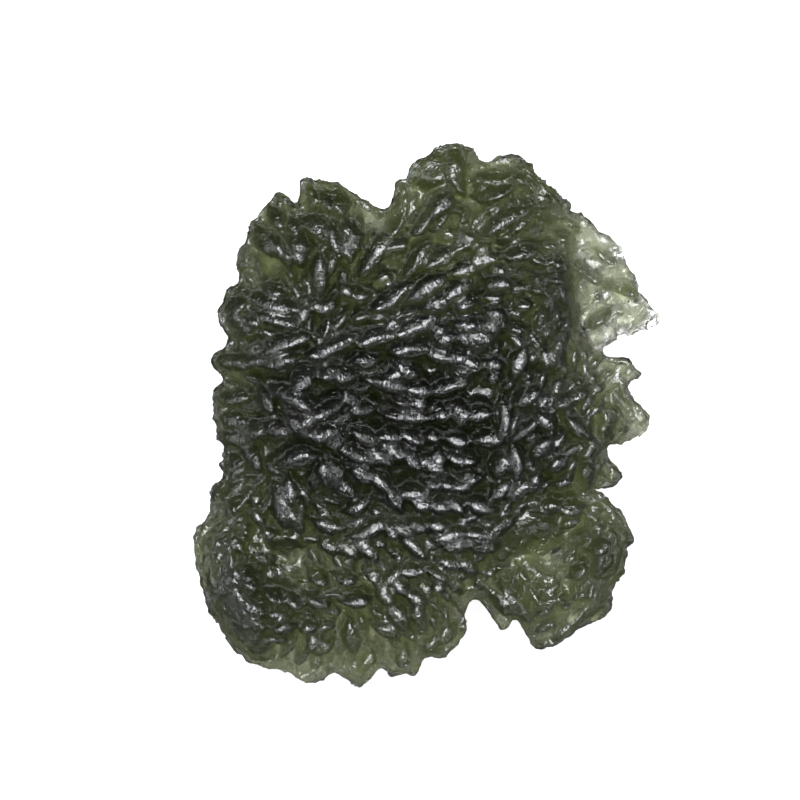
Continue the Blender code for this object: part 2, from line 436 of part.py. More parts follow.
def filling_ridges(listed, rng):
    """Small ridges in the gaps that the listed ones leave, running the same way as their neighbours."""
    ends = np.array(listed)
    middles = (ends[:, :2] + ends[:, 2:4]) / 2
    turns = 2 * np.arctan2(ends[:, 3] - ends[:, 1], ends[:, 2] - ends[:, 0])
    found = []
    reach_x = max(x for x, y in OUTLINE)
    reach_y = max(y for x, y in OUTLINE)
    for row in np.arange(-reach_y - 1, reach_y + 1, FILL_SPACING):
        for column in np.arange(-reach_x - 1, reach_x + 1, FILL_SPACING):
            x, y = column + rng.uniform(-0.18, 0.18), row + rng.uniform(-0.18, 0.18)
            if distance_to_ridges(x, y, listed + found) < FILL_GAP or not inside_outline(x, y):
                continue
            if any(math.hypot((x - px) / rx, (y - py) / ry) < 1 for px, py, rx, ry in OPEN_PLACES):
                continue
            near = np.exp(-((middles[:, 0] - x) ** 2 + (middles[:, 1] - y) ** 2) / 1.6)
            turn = math.atan2((near * np.sin(turns)).sum(), (near * np.cos(turns)).sum()) / 2
            turn += rng.uniform(-0.45, 0.45)
            half = FILL_LENGTH * rng.uniform(0.25, 0.6)
            found.append((x - half * math.cos(turn), y - half * math.sin(turn),
                          x + half * math.cos(turn), y + half * math.sin(turn),
                          FILL_PROMINENCE * rng.uniform(0, 2), rng.uniform(0.45, 0.8)))
    return found


def distance_to_ridges(x, y, ridges):
    ax, ay, bx, by = np.array(ridges).T[:4]
    span_x, span_y = bx - ax, by - ay
    along = np.clip(((x - ax) * span_x + (y - ay) * span_y) / (span_x**2 + span_y**2), 0, 1)
    return np.hypot(x - ax - along * span_x, y - ay - along * span_y).min()


def back_ridges(rng):
    """Ridges on the back, which spread from its middle to the edge like the ribs of a fan."""
    found = []
    for ring in np.arange(1.6, 12.5, 1.75):
        count = int(2 * math.pi * ring / BACK_RIDGE_SPACING)
        for step in range(count):
            turn = 2 * math.pi * (step + 0.5 * rng.uniform(-0.5, 0.5)) / count + ring
            middle_x = ring * math.cos(turn) * 0.9
            middle_y = ring * math.sin(turn) * 1.08
            lean = turn + rng.uniform(-0.35, 0.35)
            half = rng.uniform(0.6, 1.1)
            found.append((middle_x - half * math.cos(lean), middle_y - half * math.sin(lean),
                          middle_x + half * math.cos(lean), middle_y + half * math.sin(lean), 1.0, 1.0))
    return found


def lumps(points, size, seed):
    """Smooth random lumps of about this size, from -1 to 1."""
    lattice = np.random.default_rng(seed).uniform(-1, 1, (32, 32, 32))
    place = points / size + 512
    low = np.floor(place).astype(int)
    part = place - low
    part = part * part * (3 - 2 * part)
    total = np.zeros(len(points))
    for corner in itertools.product((0, 1), repeat=3):
        share = np.prod(np.where(corner, part, 1 - part), axis=1)
        total += share * lattice[tuple(((low + corner) % 32).T)]
    return 1.3 * total


def sculpture(stone):
    """Turns the flat plate into the stone: its body first, then the ridges of its face and its back."""
    rng = np.random.default_rng(SEED)
    listed = [(*ridge, 1.0, 1.0) for ridge in FACE_RIDGES]
    face_ridges = listed + filling_ridges(listed, rng)
    ribs_list = back_ridges(rng)
    points = points_of(stone)
    x, y = points[:, 0].copy(), points[:, 1].copy()
    side = np.clip(points[:, 2] / SLAB_HALF, -1, 1)
    inside = distance_to_outline(x, y)
    plan = np.column_stack([x, y, np.zeros_like(x)])
    seam = SEAM_HEIGHT + SEAM_WANDER * lumps(plan, 5.5, 3)
    slope = FLANK_SLOPE + BAND_SLOPE * flank_width(x, y)
    face = swell(inside, FACE_RISE + forms_at(x, y, FACE_FORMS) + tilts_at(x, y, FACE_TILTS)
                 + plates_at(x, y, FACE_PLATES), slope)
    flange = plates_at(x, y, FACE_PLATES)
    face += 0.12 * flange * np.abs(lumps(plan, 0.8, 41)) + 0.05 * flange * lumps(plan, 0.4, 43)
    face += forms_at(x, y, PITS) + 0.22 * lumps(plan, 2.2, 5) * np.minimum(inside, 1)
    back = swell(inside, BACK_DROP + forms_at(x, y, BACK_FORMS) + plates_at(x, y, BACK_PLATES), slope)
    back += 0.4 * lumps(plan, 2.6, 9) * np.minimum(inside, 1)
    near_edge = np.clip(inside / 0.4, 0, 1)
    fine = (0.12 + 0.88 * smooth_share(x, y)) * (0.08 + 0.92 * clear_of_flank(x, y, inside))
    relief = ridge_relief(*wander(x, y), face_ridges, RIDGE_HALF_WIDTH)
    crests = np.where(relief > 0, RIDGE_HEIGHT, CREVICE_DEPTH) * relief * near_edge * fine
    veins = ridge_relief(*wander(x, y), [(*vein, 1.0, 0.7) for vein in FLANGE_VEINS], RIDGE_HALF_WIDTH)
    crests += VEIN_HEIGHT * np.maximum(veins, 0) * near_edge
    ribs = ridge_relief(x, y, ribs_list, BACK_RIDGE_HALF_WIDTH) * BACK_RIDGE_HEIGHT * near_edge
    upper = np.clip(side, 0, 1)
    lower = np.clip(-side, 0, 1)
    points[:, 2] = seam + upper * (face + crests) - lower * (back + ribs) - FLOOR_LEVEL
    points[:, 0] += LEAN[0] * crests * upper
    points[:, 1] += LEAN[1] * crests * upper
    move_points(stone, points)


def thin_out(stone):
    """Even faces all over, then only as many as the shape needs, and fewer on the back than on the face."""
    modifier(stone, "REMESH", mode="VOXEL", voxel_size=SKIN_VOXEL * MM)
    back = stone.vertex_groups.new(name="back")
    back.add(np.flatnonzero(points_of(stone)[:, 2] < SEAM_HEIGHT).tolist(), 1.0, "REPLACE")
    modifier(stone, "DECIMATE", ratio=BACK_SHARE, vertex_group="back", use_collapse_triangulate=True)
    stone.vertex_groups.clear()
    triangles = sum(len(face.vertices) - 2 for face in stone.data.polygons)
    modifier(stone, "DECIMATE", ratio=FACES / triangles, use_collapse_triangulate=True)


def cut_flat_spot(stone, cutters):
    """Takes off all that reaches below the surface that the stone rests on."""
    bpy.ops.mesh.primitive_cube_add(size=40 * MM, location=(0, 0, -20 * MM))
    cutter = bpy.context.object
    cutter.name = "flat spot cutter"
    cutter.hide_render = True
    cutter.display_type = "WIRE"
    for home in list(cutter.users_collection):
        home.objects.unlink(cutter)
    cutters.objects.link(cutter)
    modifier(stone, "BOOLEAN", operation="DIFFERENCE", solver="EXACT", object=cutter)
    low = points_of(stone).min(axis=0)
    high = points_of(stone).max(axis=0)
    middle = np.array([(low[0] + high[0]) / 2, (low[1] + high[1]) / 2, 0])
    move_points(stone, points_of(stone) - middle)


def glass():
    material = bpy.data.materials.new("moldavite glass")
    material.use_nodes = True
    shader = material.node_tree.nodes["Principled BSDF"]
    shader.inputs["Base Color"].default_value = (0.055, 0.075, 0.03, 1.0)
    shader.inputs["Roughness"].default_value = 0.2
    shader.inputs["Metallic"].default_value = 0.0
    shader.inputs["IOR"].default_value = 1.49
    return material


def main():
    clear_scene()
    parts = bpy.data.collections.new("moldavite")
    cutters = bpy.data.collections.new("cutters")
    bpy.context.scene.collection.children.link(parts)
    bpy.context.scene.collection.children.link(cutters)
    stone = outline_slab(parts)
    sculpture(stone)
    thin_out(stone)
    cut_flat_spot(stone, cutters)
    stone.data.materials.clear()
    stone.data.materials.append(glass())
    stone.data.shade_smooth()
    stone.data.set_sharp_from_angle(angle=math.radians(50))


main()
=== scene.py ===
"""The look of the moldavite: etched bottle-green glass on a white sheet, seen from above.

The stone is sculptured in three steps. A plate with the stone's outline is swollen into lobes and hollows,
the ridges and crevices of the face and the back are laid over them, and the fine etching is pressed into the
skin. Its plan is in millimetres, as in the CAD source, and turned into metres when the mesh takes it.
"""

import itertools
import math

import bmesh
import bpy
import numpy as np
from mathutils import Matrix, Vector


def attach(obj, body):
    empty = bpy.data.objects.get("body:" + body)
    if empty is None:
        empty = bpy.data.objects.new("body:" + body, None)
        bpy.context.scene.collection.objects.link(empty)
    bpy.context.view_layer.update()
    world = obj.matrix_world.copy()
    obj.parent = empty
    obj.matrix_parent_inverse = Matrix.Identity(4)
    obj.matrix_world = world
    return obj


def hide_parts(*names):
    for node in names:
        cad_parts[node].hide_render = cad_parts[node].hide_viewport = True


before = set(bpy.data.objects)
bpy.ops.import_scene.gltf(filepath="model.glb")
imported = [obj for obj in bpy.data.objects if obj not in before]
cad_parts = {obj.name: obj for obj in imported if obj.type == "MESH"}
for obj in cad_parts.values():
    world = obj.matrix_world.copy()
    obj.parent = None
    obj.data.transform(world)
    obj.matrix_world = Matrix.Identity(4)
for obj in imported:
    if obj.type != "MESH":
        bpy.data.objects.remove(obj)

MM = 0.001

# The outline of the stone seen from above, clockwise, in millimetres, stretch by stretch.
TOP_LEFT_CRAGS = [
    (-9.40, 6.55), (-9.35, 7.05), (-9.50, 7.50), (-9.40, 8.05), (-9.10, 8.45), (-8.95, 9.00),
    (-8.80, 9.60), (-8.35, 9.95), (-8.00, 10.50), (-7.75, 10.85), (-7.55, 11.12), (-7.25, 10.95),
    (-7.00, 10.80), (-6.80, 10.52), (-6.38, 10.40), (-6.33, 11.10), (-6.30, 11.60), (-6.00, 11.70),
    (-5.30, 11.52), (-4.45, 11.45), (-4.00, 11.10), (-3.50, 10.75), (-3.00, 10.50), (-2.75, 10.35),
    (-2.50, 10.10),
]
DOME = [
    (-2.10, 10.20), (-1.80, 10.42), (-1.65, 10.95), (-1.50, 11.55), (-1.35, 11.68), (-1.05, 11.60),
    (-0.98, 12.00), (-0.65, 12.45), (0.00, 12.88), (0.25, 13.20), (0.90, 13.36), (1.45, 13.50),
    (1.65, 13.30), (2.05, 13.20), (2.30, 12.80), (2.60, 12.62), (3.00, 12.52),
]
SHOULDER = [
    (3.40, 12.88), (4.10, 13.00), (4.60, 12.82), (5.10, 12.50), (5.25, 12.15), (5.80, 11.42),
    (6.40, 11.00), (6.60, 10.72), (6.90, 10.50), (6.85, 10.05),
]
PALE_FLANGE = [
    (7.40, 10.05), (7.80, 9.80), (8.15, 9.52), (8.50, 9.12), (8.80, 9.06), (9.20, 8.75), (9.55, 8.40),
    (9.72, 8.00), (9.95, 7.40), (10.25, 6.95), (10.40, 6.50), (10.30, 6.05), (10.80, 5.70),
    (11.00, 5.35), (11.40, 5.05), (11.52, 4.80), (11.40, 4.55), (10.90, 4.30), (10.20, 4.14),
    (9.60, 3.85), (9.00, 3.52), (8.52, 3.30),
]
RIGHT_TEETH = [
    (8.85, 2.98), (9.15, 2.78), (9.80, 2.76), (10.10, 2.45), (10.45, 2.10), (10.15, 1.92), (9.85, 1.72),
    (9.75, 1.40), (9.85, 1.05), (10.20, 0.70), (10.60, 0.35), (10.92, 0.00), (10.88, -0.50),
    (10.75, -0.80), (10.20, -0.95), (9.70, -1.20), (9.20, -1.40), (8.85, -1.45), (8.70, -1.65),
    (8.90, -2.00), (9.05, -2.32), (9.35, -2.55), (9.55, -3.02), (9.30, -3.30), (9.00, -3.45),
    (8.30, -3.45), (8.05, -3.60),
]
LOWER_RIGHT_LOBE = [
    (8.35, -3.85), (8.62, -4.00), (9.00, -4.40), (9.45, -4.85), (9.75, -5.30), (10.00, -5.70),
    (10.10, -6.15), (9.75, -6.48), (9.78, -6.85), (9.70, -7.35), (9.60, -7.80), (9.35, -8.00),
    (9.10, -8.30), (9.00, -8.65), (9.05, -9.10), (9.00, -9.60), (8.60, -9.90), (8.00, -10.20),
    (7.30, -10.50), (7.00, -10.75), (6.60, -11.15), (6.10, -11.40), (5.50, -11.56), (5.25, -11.45),
    (5.10, -11.00), (4.80, -10.52), (4.40, -10.05),
]
SCALLOP = [
    (4.10, -9.95), (3.95, -10.08), (3.75, -10.60), (3.60, -10.52), (3.30, -10.10), (2.90, -9.68),
    (2.60, -9.30), (2.35, -9.15), (2.05, -9.20), (1.85, -9.50), (1.80, -10.10), (1.75, -10.72),
]
BOTTOM_TEETH = [
    (1.40, -10.95), (1.30, -11.25), (1.05, -11.52), (0.80, -11.80), (0.50, -11.86), (0.10, -11.75),
    (-0.35, -11.90), (-0.60, -12.30), (-0.80, -12.75), (-1.05, -12.65), (-1.90, -12.72),
    (-2.15, -12.55), (-2.35, -12.42), (-2.60, -12.50), (-2.85, -12.85), (-3.35, -13.46),
    (-3.60, -13.38), (-3.78, -13.20), (-4.10, -13.05), (-4.40, -12.78), (-4.75, -12.64),
]
LOWER_LEFT_LOBE = [
    (-5.25, -12.92), (-5.60, -13.10), (-6.10, -13.10), (-6.50, -12.90), (-6.90, -12.60),
    (-7.40, -12.42), (-8.00, -12.35), (-8.40, -12.15), (-8.85, -12.10), (-9.20, -11.75),
    (-9.60, -11.45), (-9.80, -11.10), (-10.15, -10.75), (-10.35, -10.30), (-10.50, -9.95),
    (-10.80, -9.60), (-11.00, -9.10), (-11.15, -8.70), (-11.25, -8.30), (-11.35, -7.80),
    (-11.50, -7.40), (-11.50, -6.00), (-11.40, -5.55), (-11.00, -5.10), (-10.70, -4.75),
]
LEFT_FLANK = [
    (-10.75, -4.30), (-10.68, -4.02), (-10.85, -3.80), (-10.60, -3.50), (-10.20, -3.30),
    (-10.10, -3.00), (-10.15, -2.70), (-10.35, -2.42), (-10.10, -2.20), (-10.20, -1.90),
    (-10.15, -1.50), (-10.30, -1.22), (-10.50, -1.10), (-10.50, -0.80), (-10.40, -0.55),
    (-10.50, -0.25), (-10.75, -0.10), (-10.65, 0.20), (-10.65, 0.55), (-10.70, 1.00), (-10.60, 1.25),
    (-10.25, 1.52), (-10.15, 1.90), (-10.20, 2.15), (-10.60, 2.42), (-10.75, 2.70), (-10.70, 3.05),
    (-10.20, 3.30), (-9.92, 3.70), (-9.87, 4.00), (-10.10, 4.30), (-10.35, 4.80), (-10.45, 5.20),
    (-10.10, 5.70), (-10.00, 6.25),
]
OUTLINE = (
    TOP_LEFT_CRAGS + DOME + SHOULDER + PALE_FLANGE + RIGHT_TEETH + LOWER_RIGHT_LOBE
    + SCALLOP + BOTTOM_TEETH + LOWER_LEFT_LOBE + LEFT_FLANK
)

# The body's driving heights, in millimetres above the surface that it rests on.
SEAM_HEIGHT = 4.6  # where the face and the back meet, all round the outline
SEAM_WANDER = 0.6  # how far the seam strays up and down
FACE_RISE = 2.7  # the face's usual height over the seam
BACK_DROP = 1.3  # the back's usual depth under the seam
RIM_SHARE = 0.42  # the height of the blunt edge itself, as a share of the full height
FLANK_SLOPE = 1.45  # how steeply face and back leave that edge
BAND_SLOPE = 0.75  # how much steeper they are for each millimetre of bare flank

# Mounds and hollows: middle x and y, reach along x and y, and height, all in millimetres.
FACE_FORMS = {
    "central basin": (0.4, -0.6, 4.2, 5.0, -0.5),
    "left wall of fingers": (-6.4, 0.3, 1.7, 3.2, 1.2),
    "right wall": (5.6, -0.2, 1.5, 2.6, 0.9),
    "upper left crag": (-6.2, 8.8, 2.2, 1.9, 1.0),
    "shoulder": (4.9, 10.6, 2.0, 1.7, 0.8),
    "dome": (-0.2, 11.5, 1.4, 1.4, 1.2),
    "groove beside the dome": (2.1, 11.3, 0.9, 1.3, -1.5),
    "pale lump": (3.9, 12.4, 1.0, 0.6, -1.6),
    "flank of the shoulder": (6.3, 9.2, 0.9, 1.4, -1.0),
    "step beside the flange": (6.2, 5.9, 0.7, 1.9, 1.7),
    "slope below the flange": (7.0, 2.8, 1.6, 1.8, -0.7),
    "window in the flange": (9.55, 7.4, 0.5, 0.7, -0.2),
    "right teeth": (10.2, -0.4, 1.7, 3.8, -1.7),
    "lower left rim": (-9.2, -8.9, 2.1, 3.4, 1.5),
    "lower left facet": (-7.5, -6.7, 1.7, 1.4, -1.5),
    "bottom fringe": (-2.6, -12.4, 3.4, 1.8, -1.2),
    "lower right cup": (5.4, -7.0, 2.2, 2.0, -1.5),
    "lower right rim": (8.9, -7.6, 1.1, 2.6, 0.6),
    "scallop": (2.4, -9.4, 1.3, 1.6, -1.2),
}
BACK_FORMS = {
    "keel": (0.2, -1.0, 5.0, 5.6, 3.4),
    "left haunch": (-8.6, -9.4, 2.4, 2.8, 0.5),
    "left edge": (-8.8, 1.5, 1.8, 2.2, 1.8),
    "right teeth": (10.2, -0.4, 1.7, 3.8, -0.4),
    "hollow below the flange": (7.6, 2.8, 2.0, 1.8, -1.2),
    "hollow right of the keel": (8.2, 0.0, 1.6, 2.0, -1.0),
    "lower left facet": (-7.5, -6.7, 2.0, 1.8, -1.1),
    "lower right cup": (5.8, -7.2, 2.8, 2.8, -1.0),
    "bottom fringe": (-2.6, -12.4, 3.4, 1.8, -0.4),
    "upper green strip": (0.8, 8.2, 4.6, 2.1, -2.2),
    "lower green strip": (-2.0, -9.2, 5.0, 2.6, -1.8),
    "hollow beside the dome": (2.8, 11.4, 1.8, 1.6, -0.7),
}
# Level places with a steep step round them, given in the same way.
FACE_PLATES = {"pale flange": (9.5, 6.7, 2.6, 3.7, -2.25)}
BACK_PLATES = {"pale flange": (9.5, 6.7, 2.6, 3.7, -0.85)}
FLANGE_VEINS = [(7.1, 7.6, 8.4, 6.85), (8.4, 6.85, 10.3, 6.1), (8.0, 4.6, 8.9, 5.3), (8.2, 8.4, 8.9, 7.9)]
PITS = {
    "hole in the crag": (-7.65, 7.15, 0.60, 0.55, -1.5),
    "hollow under the saddle": (-2.6, 9.55, 0.65, 0.40, -1.0),
    "bubble": (4.60, 10.95, 0.30, 0.38, -0.8),
    "small bubble": (5.40, 11.00, 0.22, 0.20, -0.5),
}

# Facets that face down the stone, away from the light: middle, reach along x and y, and the rise per
# millimetre along x and y.
FACE_TILTS = {
    "lower left facet": (-7.4, -6.9, 1.7, 1.5, -0.15, 0.45),
    "lower right cup": (5.2, -5.9, 2.0, 1.6, 0.0, 0.5),
    "dome": (0.1, 12.0, 1.3, 1.2, 0.2, 0.3),
    "saddle": (-1.9, 7.2, 1.0, 1.0, 0.0, 0.35),
    "upper window": (0.6, 8.8, 1.0, 0.7, 0.0, 0.35),
    "right window": (3.8, 8.6, 1.0, 0.6, 0.0, 0.35),
}
# Bands of bare, layered flank inside the outline: middle, reach along x and y, and the band's width.
FLANK_BANDS = [
    (-9.8, -9.0, 2.6, 4.6, 2.2), (-3.0, -13.2, 4.0, 1.6, 0.7), (9.2, -8.4, 1.9, 3.6, 1.3),
    (6.2, 11.4, 2.2, 1.6, 0.9), (0.4, 13.2, 2.4, 1.2, 0.5), (9.0, -1.0, 2.2, 3.6, 0.4),
]
BARE_EDGE = 0.15  # the bare flank's width everywhere else
# Painted light and shade on the etched skin: painted shade, darker than plain, in the hollow basin and on
# the lower left facet, which faces away from the light; painted light, clearer than plain, in the lower
# right cup, on the pale flange and on the upper green strip. Middle, reach along x and y, and amount.
PAINTED_LIGHT_AND_SHADE = [
    (-0.2, 0.2, 6.0, 4.0, -0.40),
    (6.2, -7.4, 2.8, 2.6, 0.35),
    (-8.0, -7.4, 1.4, 1.2, -0.20),
    (9.3, 7.6, 2.2, 2.6, 0.40),
    (1.5, 8.5, 5.0, 1.8, 0.10),
]
PLAIN_TONE = 0.45
# Open places between the listed ridges, which take no filling ridges: middle, reach along x and y.
OPEN_PLACES = [
    (-1.6, 7.0, 2.6, 1.5), (1.0, 8.6, 2.2, 0.8), (3.8, 8.6, 1.4, 0.7), (-3.4, 5.6, 1.4, 0.7),
    (-7.5, -6.8, 1.8, 1.4), (5.4, -6.0, 1.8, 1.6), (0.0, 11.8, 1.6, 1.5), (-2.4, -8.6, 2.0, 0.8),
    (0.3, 0.6, 3.6, 2.8), (0.8, -2.6, 3.0, 2.0), (-6.6, 0.2, 2.2, 3.0),
]

# The face's ridges, end to end in millimetres: x and y of one end, then of the other.
FAN_RIDGES = [
    (-5.45, 7.80, -5.35, 6.10), (-4.65, 9.40, -4.55, 7.90), (-5.60, 9.75, -5.25, 8.80),
    (-6.00, 9.70, -5.75, 9.10), (-6.65, 9.60, -6.45, 9.00), (-4.15, 9.60, -3.35, 8.90),
    (-3.95, 9.00, -3.55, 8.30), (-4.15, 8.60, -4.00, 7.70), (-6.70, 8.60, -5.95, 8.30),
    (-7.05, 8.10, -6.85, 7.50), (-6.40, 8.20, -6.20, 7.60), (-8.00, 6.55, -7.20, 6.15),
    (-8.30, 5.15, -6.50, 4.40), (-8.70, 6.00, -6.40, 5.20), (-9.80, 5.40, -9.00, 5.80),
    (-8.85, 4.85, -8.25, 4.60), (-9.70, 5.20, -9.30, 4.60), (-9.25, 4.55, -8.70, 4.20),
    (-5.95, 5.80, -6.30, 4.70), (-5.55, 5.75, -5.35, 5.30), (-5.10, 5.20, -4.70, 5.80),
    (-4.25, 6.40, -4.00, 6.00), (-3.75, 5.90, -3.05, 6.05), (-8.20, 3.00, -5.80, 4.00),
    (-5.80, 3.00, -3.50, 4.05), (-8.60, 9.30, -7.90, 8.00), (-8.20, 8.90, -7.20, 7.90),
    (-7.90, 10.30, -7.30, 9.30), (-5.20, 11.20, -4.90, 10.10), (-4.50, 11.20, -4.40, 10.00),
    (-5.90, 11.30, -5.70, 10.20),
]
SADDLE_RIDGES = [
    (-3.35, 7.05, -1.95, 9.00), (-1.90, 9.10, -1.35, 11.20), (-2.00, 8.10, -1.35, 8.70),
    (-0.80, 9.10, 0.00, 9.80), (0.00, 9.75, 1.00, 10.90), (-1.30, 6.90, 0.00, 8.40),
    (-0.10, 7.30, 1.20, 8.10), (1.20, 8.15, 2.20, 9.05), (2.20, 8.15, 2.75, 8.45),
    (1.90, 7.65, 3.20, 7.90), (3.60, 7.90, 5.10, 8.10), (1.10, 7.00, 2.40, 7.40),
    (-2.80, 5.20, -1.10, 6.35), (-0.90, 5.80, 0.70, 6.75), (0.70, 5.80, 2.00, 6.60),
    (1.30, 5.55, 2.20, 5.65), (2.90, 6.70, 3.80, 6.35), (2.60, 9.10, 4.80, 10.30),
    (-3.40, 3.60, -1.60, 4.05), (-1.65, 4.00, 0.20, 4.85), (0.00, 4.10, 0.65, 4.45),
    (1.30, 4.65, 2.30, 4.35), (2.50, 4.60, 3.30, 4.05), (2.90, 4.85, 3.70, 4.45),
    (2.70, 5.15, 3.60, 4.95), (-0.30, 5.30, 1.00, 5.75), (1.20, 13.20, 1.60, 11.00),
    (2.20, 11.60, 4.20, 12.10), (2.20, 10.90, 4.00, 11.20), (4.00, 12.00, 6.30, 10.80),
]
BASIN_RIDGES = [
    (0.20, 3.75, 1.30, 3.85), (1.50, 3.80, 3.00, 3.80), (-1.80, 3.20, -0.10, 3.50),
    (-0.10, 3.15, 1.00, 2.95), (0.95, 2.85, 1.75, 3.00), (1.55, 2.80, 2.45, 2.50),
    (1.20, 2.30, 2.00, 2.35), (2.70, 2.65, 3.50, 2.50), (-3.50, 2.65, -2.60, 2.85),
    (-1.60, 2.65, -0.70, 2.10), (-3.00, 1.85, -1.00, 1.50), (-1.00, 1.45, -0.05, 1.25),
    (0.05, 1.25, 1.90, 1.65), (-1.60, 0.80, -0.90, 0.70), (-0.80, 0.75, -0.15, 0.60),
    (-3.70, 0.25, -2.70, 0.40), (-2.10, 0.00, 0.15, 0.05), (0.30, 0.15, 0.95, 0.30),
    (1.10, 0.55, 1.90, 0.15), (1.20, 0.10, 1.70, -0.15), (1.95, 0.05, 3.00, 0.20),
    (-3.60, -0.85, -2.60, -1.30), (-2.40, -1.00, -1.40, -0.95), (-1.30, -0.90, -0.30, -1.30),
    (-0.10, -1.00, 0.55, -1.00), (0.85, -1.00, 1.80, -1.30), (2.00, -1.20, 3.60, -1.10),
    (-4.40, -1.55, -2.70, -2.25), (-2.85, -1.60, -1.90, -2.30), (-2.00, -1.50, -1.20, -1.95),
    (-1.20, -1.70, -0.50, -2.35), (-0.30, -2.05, 0.70, -2.50), (0.20, -2.00, 0.80, -1.90),
    (1.00, -1.90, 2.30, -2.25), (-3.80, -2.60, -2.80, -3.10), (-2.75, -2.90, -2.00, -3.60),
    (-2.05, -3.55, -1.40, -4.40), (-0.20, -3.05, 0.50, -3.30), (0.65, -3.10, 1.25, -3.45),
    (1.20, -3.45, 2.05, -3.25), (1.65, -2.90, 2.50, -3.00), (-1.50, -3.75, -0.20, -3.60),
    (-0.80, -4.10, 0.00, -4.20), (0.00, -4.15, 1.00, -4.35), (1.05, -4.00, 1.55, -4.60),
    (1.80, -4.15, 3.00, -4.50), (-0.90, -5.00, -0.20, -5.40), (0.00, -5.05, 0.70, -5.25),
    (3.00, -3.90, 3.80, -3.20), (3.90, -3.90, 4.75, -3.20), (3.10, -5.80, 3.90, -5.00),
    (-2.00, 2.00, -1.20, 2.30),
]
SIDE_RIDGES = [
    (-10.65, 2.85, -8.30, 2.75), (-8.10, 2.50, -6.60, 2.80), (-10.50, 1.10, -9.10, 1.00),
    (-8.35, 1.50, -7.80, 0.20), (-9.30, -1.30, -8.30, -2.40), (-8.20, -0.50, -7.00, -0.90),
    (-9.30, -0.50, -8.30, -0.85), (-6.70, 1.40, -5.60, 2.30), (-7.60, 1.50, -5.75, 0.35),
    (-6.80, -0.10, -6.10, -0.85), (-5.50, 0.10, -4.10, 0.75), (-5.75, -0.90, -4.25, -0.60),
    (-4.05, 1.20, -3.45, 0.60), (-7.20, -2.20, -5.60, -1.80), (-5.30, -2.20, -5.05, -3.10),
    (-5.25, 2.05, -4.35, 2.40), (-4.50, 1.90, -3.50, 2.05), (-6.15, -0.40, -5.50, 0.05),
    (-4.85, -1.30, -4.10, -1.10), (-4.85, -2.20, -4.35, -3.00), (-4.75, -3.05, -3.70, -3.60),
    (-3.95, -4.45, -3.05, -4.10), (-10.20, -2.75, -9.30, -2.60), (-7.45, -3.20, -7.05, -5.20),
    (-6.80, -3.00, -6.90, -4.10), (-6.95, -4.30, -6.30, -5.40), (-10.65, -0.05, -9.20, -0.20),
    (-10.40, -0.95, -9.00, -1.00), (-10.20, -2.30, -9.20, -2.10), (-10.70, -3.80, -9.20, -3.20),
    (-9.90, -4.60, -8.70, -3.60), (4.10, -1.00, 5.00, -0.15), (4.15, -1.40, 4.15, -2.90),
    (4.20, 0.70, 5.20, 1.30), (3.60, 0.90, 3.50, -1.00), (3.60, -1.70, 3.30, -2.80),
    (2.90, 1.90, 3.40, 2.20), (6.20, 0.60, 7.00, 1.20), (7.10, 1.00, 7.60, 1.50),
    (6.75, -0.15, 7.80, -1.05), (5.10, -2.00, 5.90, -1.10), (5.10, 0.30, 5.90, -0.50),
    (9.10, 0.40, 8.65, -0.40), (8.65, -0.40, 8.60, -1.20), (8.50, -1.20, 7.50, -1.80),
    (7.95, -2.20, 7.60, -2.90), (7.60, -2.90, 8.00, -3.40), (6.40, 3.60, 6.30, 2.60),
    (5.60, 3.30, 5.90, 2.60), (4.20, 2.00, 4.70, 3.40), (5.90, -2.60, 6.60, -2.00),
    (4.90, -3.50, 5.20, -2.90),
]
LOWER_RIDGES = [
    (-7.90, -5.50, -6.85, -6.60), (-7.00, -5.75, -6.30, -6.10), (-5.20, -5.90, -4.50, -6.50),
    (-4.35, -6.00, -3.65, -6.80), (-5.90, -7.20, -5.15, -8.00), (-6.00, -8.60, -5.10, -9.15),
    (-6.95, -8.60, -6.30, -9.05), (-7.90, -8.60, -7.20, -8.90), (-8.80, -7.30, -8.50, -8.30),
    (-6.20, -10.40, -5.60, -10.15), (-7.30, -10.20, -6.70, -10.15), (-5.80, -11.30, -5.40, -10.80),
    (-5.40, -11.50, -4.80, -11.05), (-5.50, -5.00, -4.30, -5.30), (-3.90, -5.80, -2.10, -5.10),
    (-4.50, -7.65, -3.80, -7.90), (-4.20, -9.00, -3.00, -8.80), (-3.60, -5.90, -2.80, -6.70),
    (-1.20, -5.80, -0.30, -6.80), (-2.10, -5.10, -1.70, -5.85), (-1.60, -5.10, -1.00, -5.60),
    (0.20, -5.90, 1.80, -5.60), (1.80, -5.70, 3.30, -5.80), (0.60, -6.25, 2.10, -6.10),
    (2.00, -6.20, 3.40, -6.35), (0.40, -6.95, 1.50, -7.30), (1.50, -6.90, 2.20, -7.50),
    (-1.30, -7.50, -0.20, -7.45), (-0.10, -7.40, 0.70, -7.90), (-2.20, -8.00, -1.20, -7.30),
    (-2.40, -8.00, -1.85, -8.95), (-2.90, -7.20, -2.65, -7.90), (-1.60, -7.90, -1.10, -8.60),
    (0.20, -8.10, 0.55, -8.50), (-1.00, -8.70, -0.30, -9.10), (-1.90, -9.30, -1.20, -10.10),
    (-0.70, -9.30, -0.55, -9.90), (-0.20, -11.60, 0.20, -10.90), (0.60, -10.90, 1.30, -10.10),
    (-2.60, -10.20, -1.60, -10.50), (-3.90, -10.00, -3.70, -11.40), (-3.20, -12.90, -2.90, -11.60),
    (-1.30, -12.40, -1.20, -11.30), (5.30, -4.60, 6.45, -4.25), (6.60, -4.60, 7.55, -4.40),
    (8.05, -6.40, 8.90, -6.20), (6.95, -7.85, 7.60, -7.40), (8.60, -6.60, 8.30, -8.00),
    (9.30, -6.60, 9.00, -8.00), (7.80, -8.90, 8.60, -8.20), (6.80, -10.20, 8.60, -9.60),
    (6.20, -10.90, 7.00, -10.10), (3.60, -8.30, 4.90, -10.00), (3.00, -8.60, 4.40, -9.80),
]
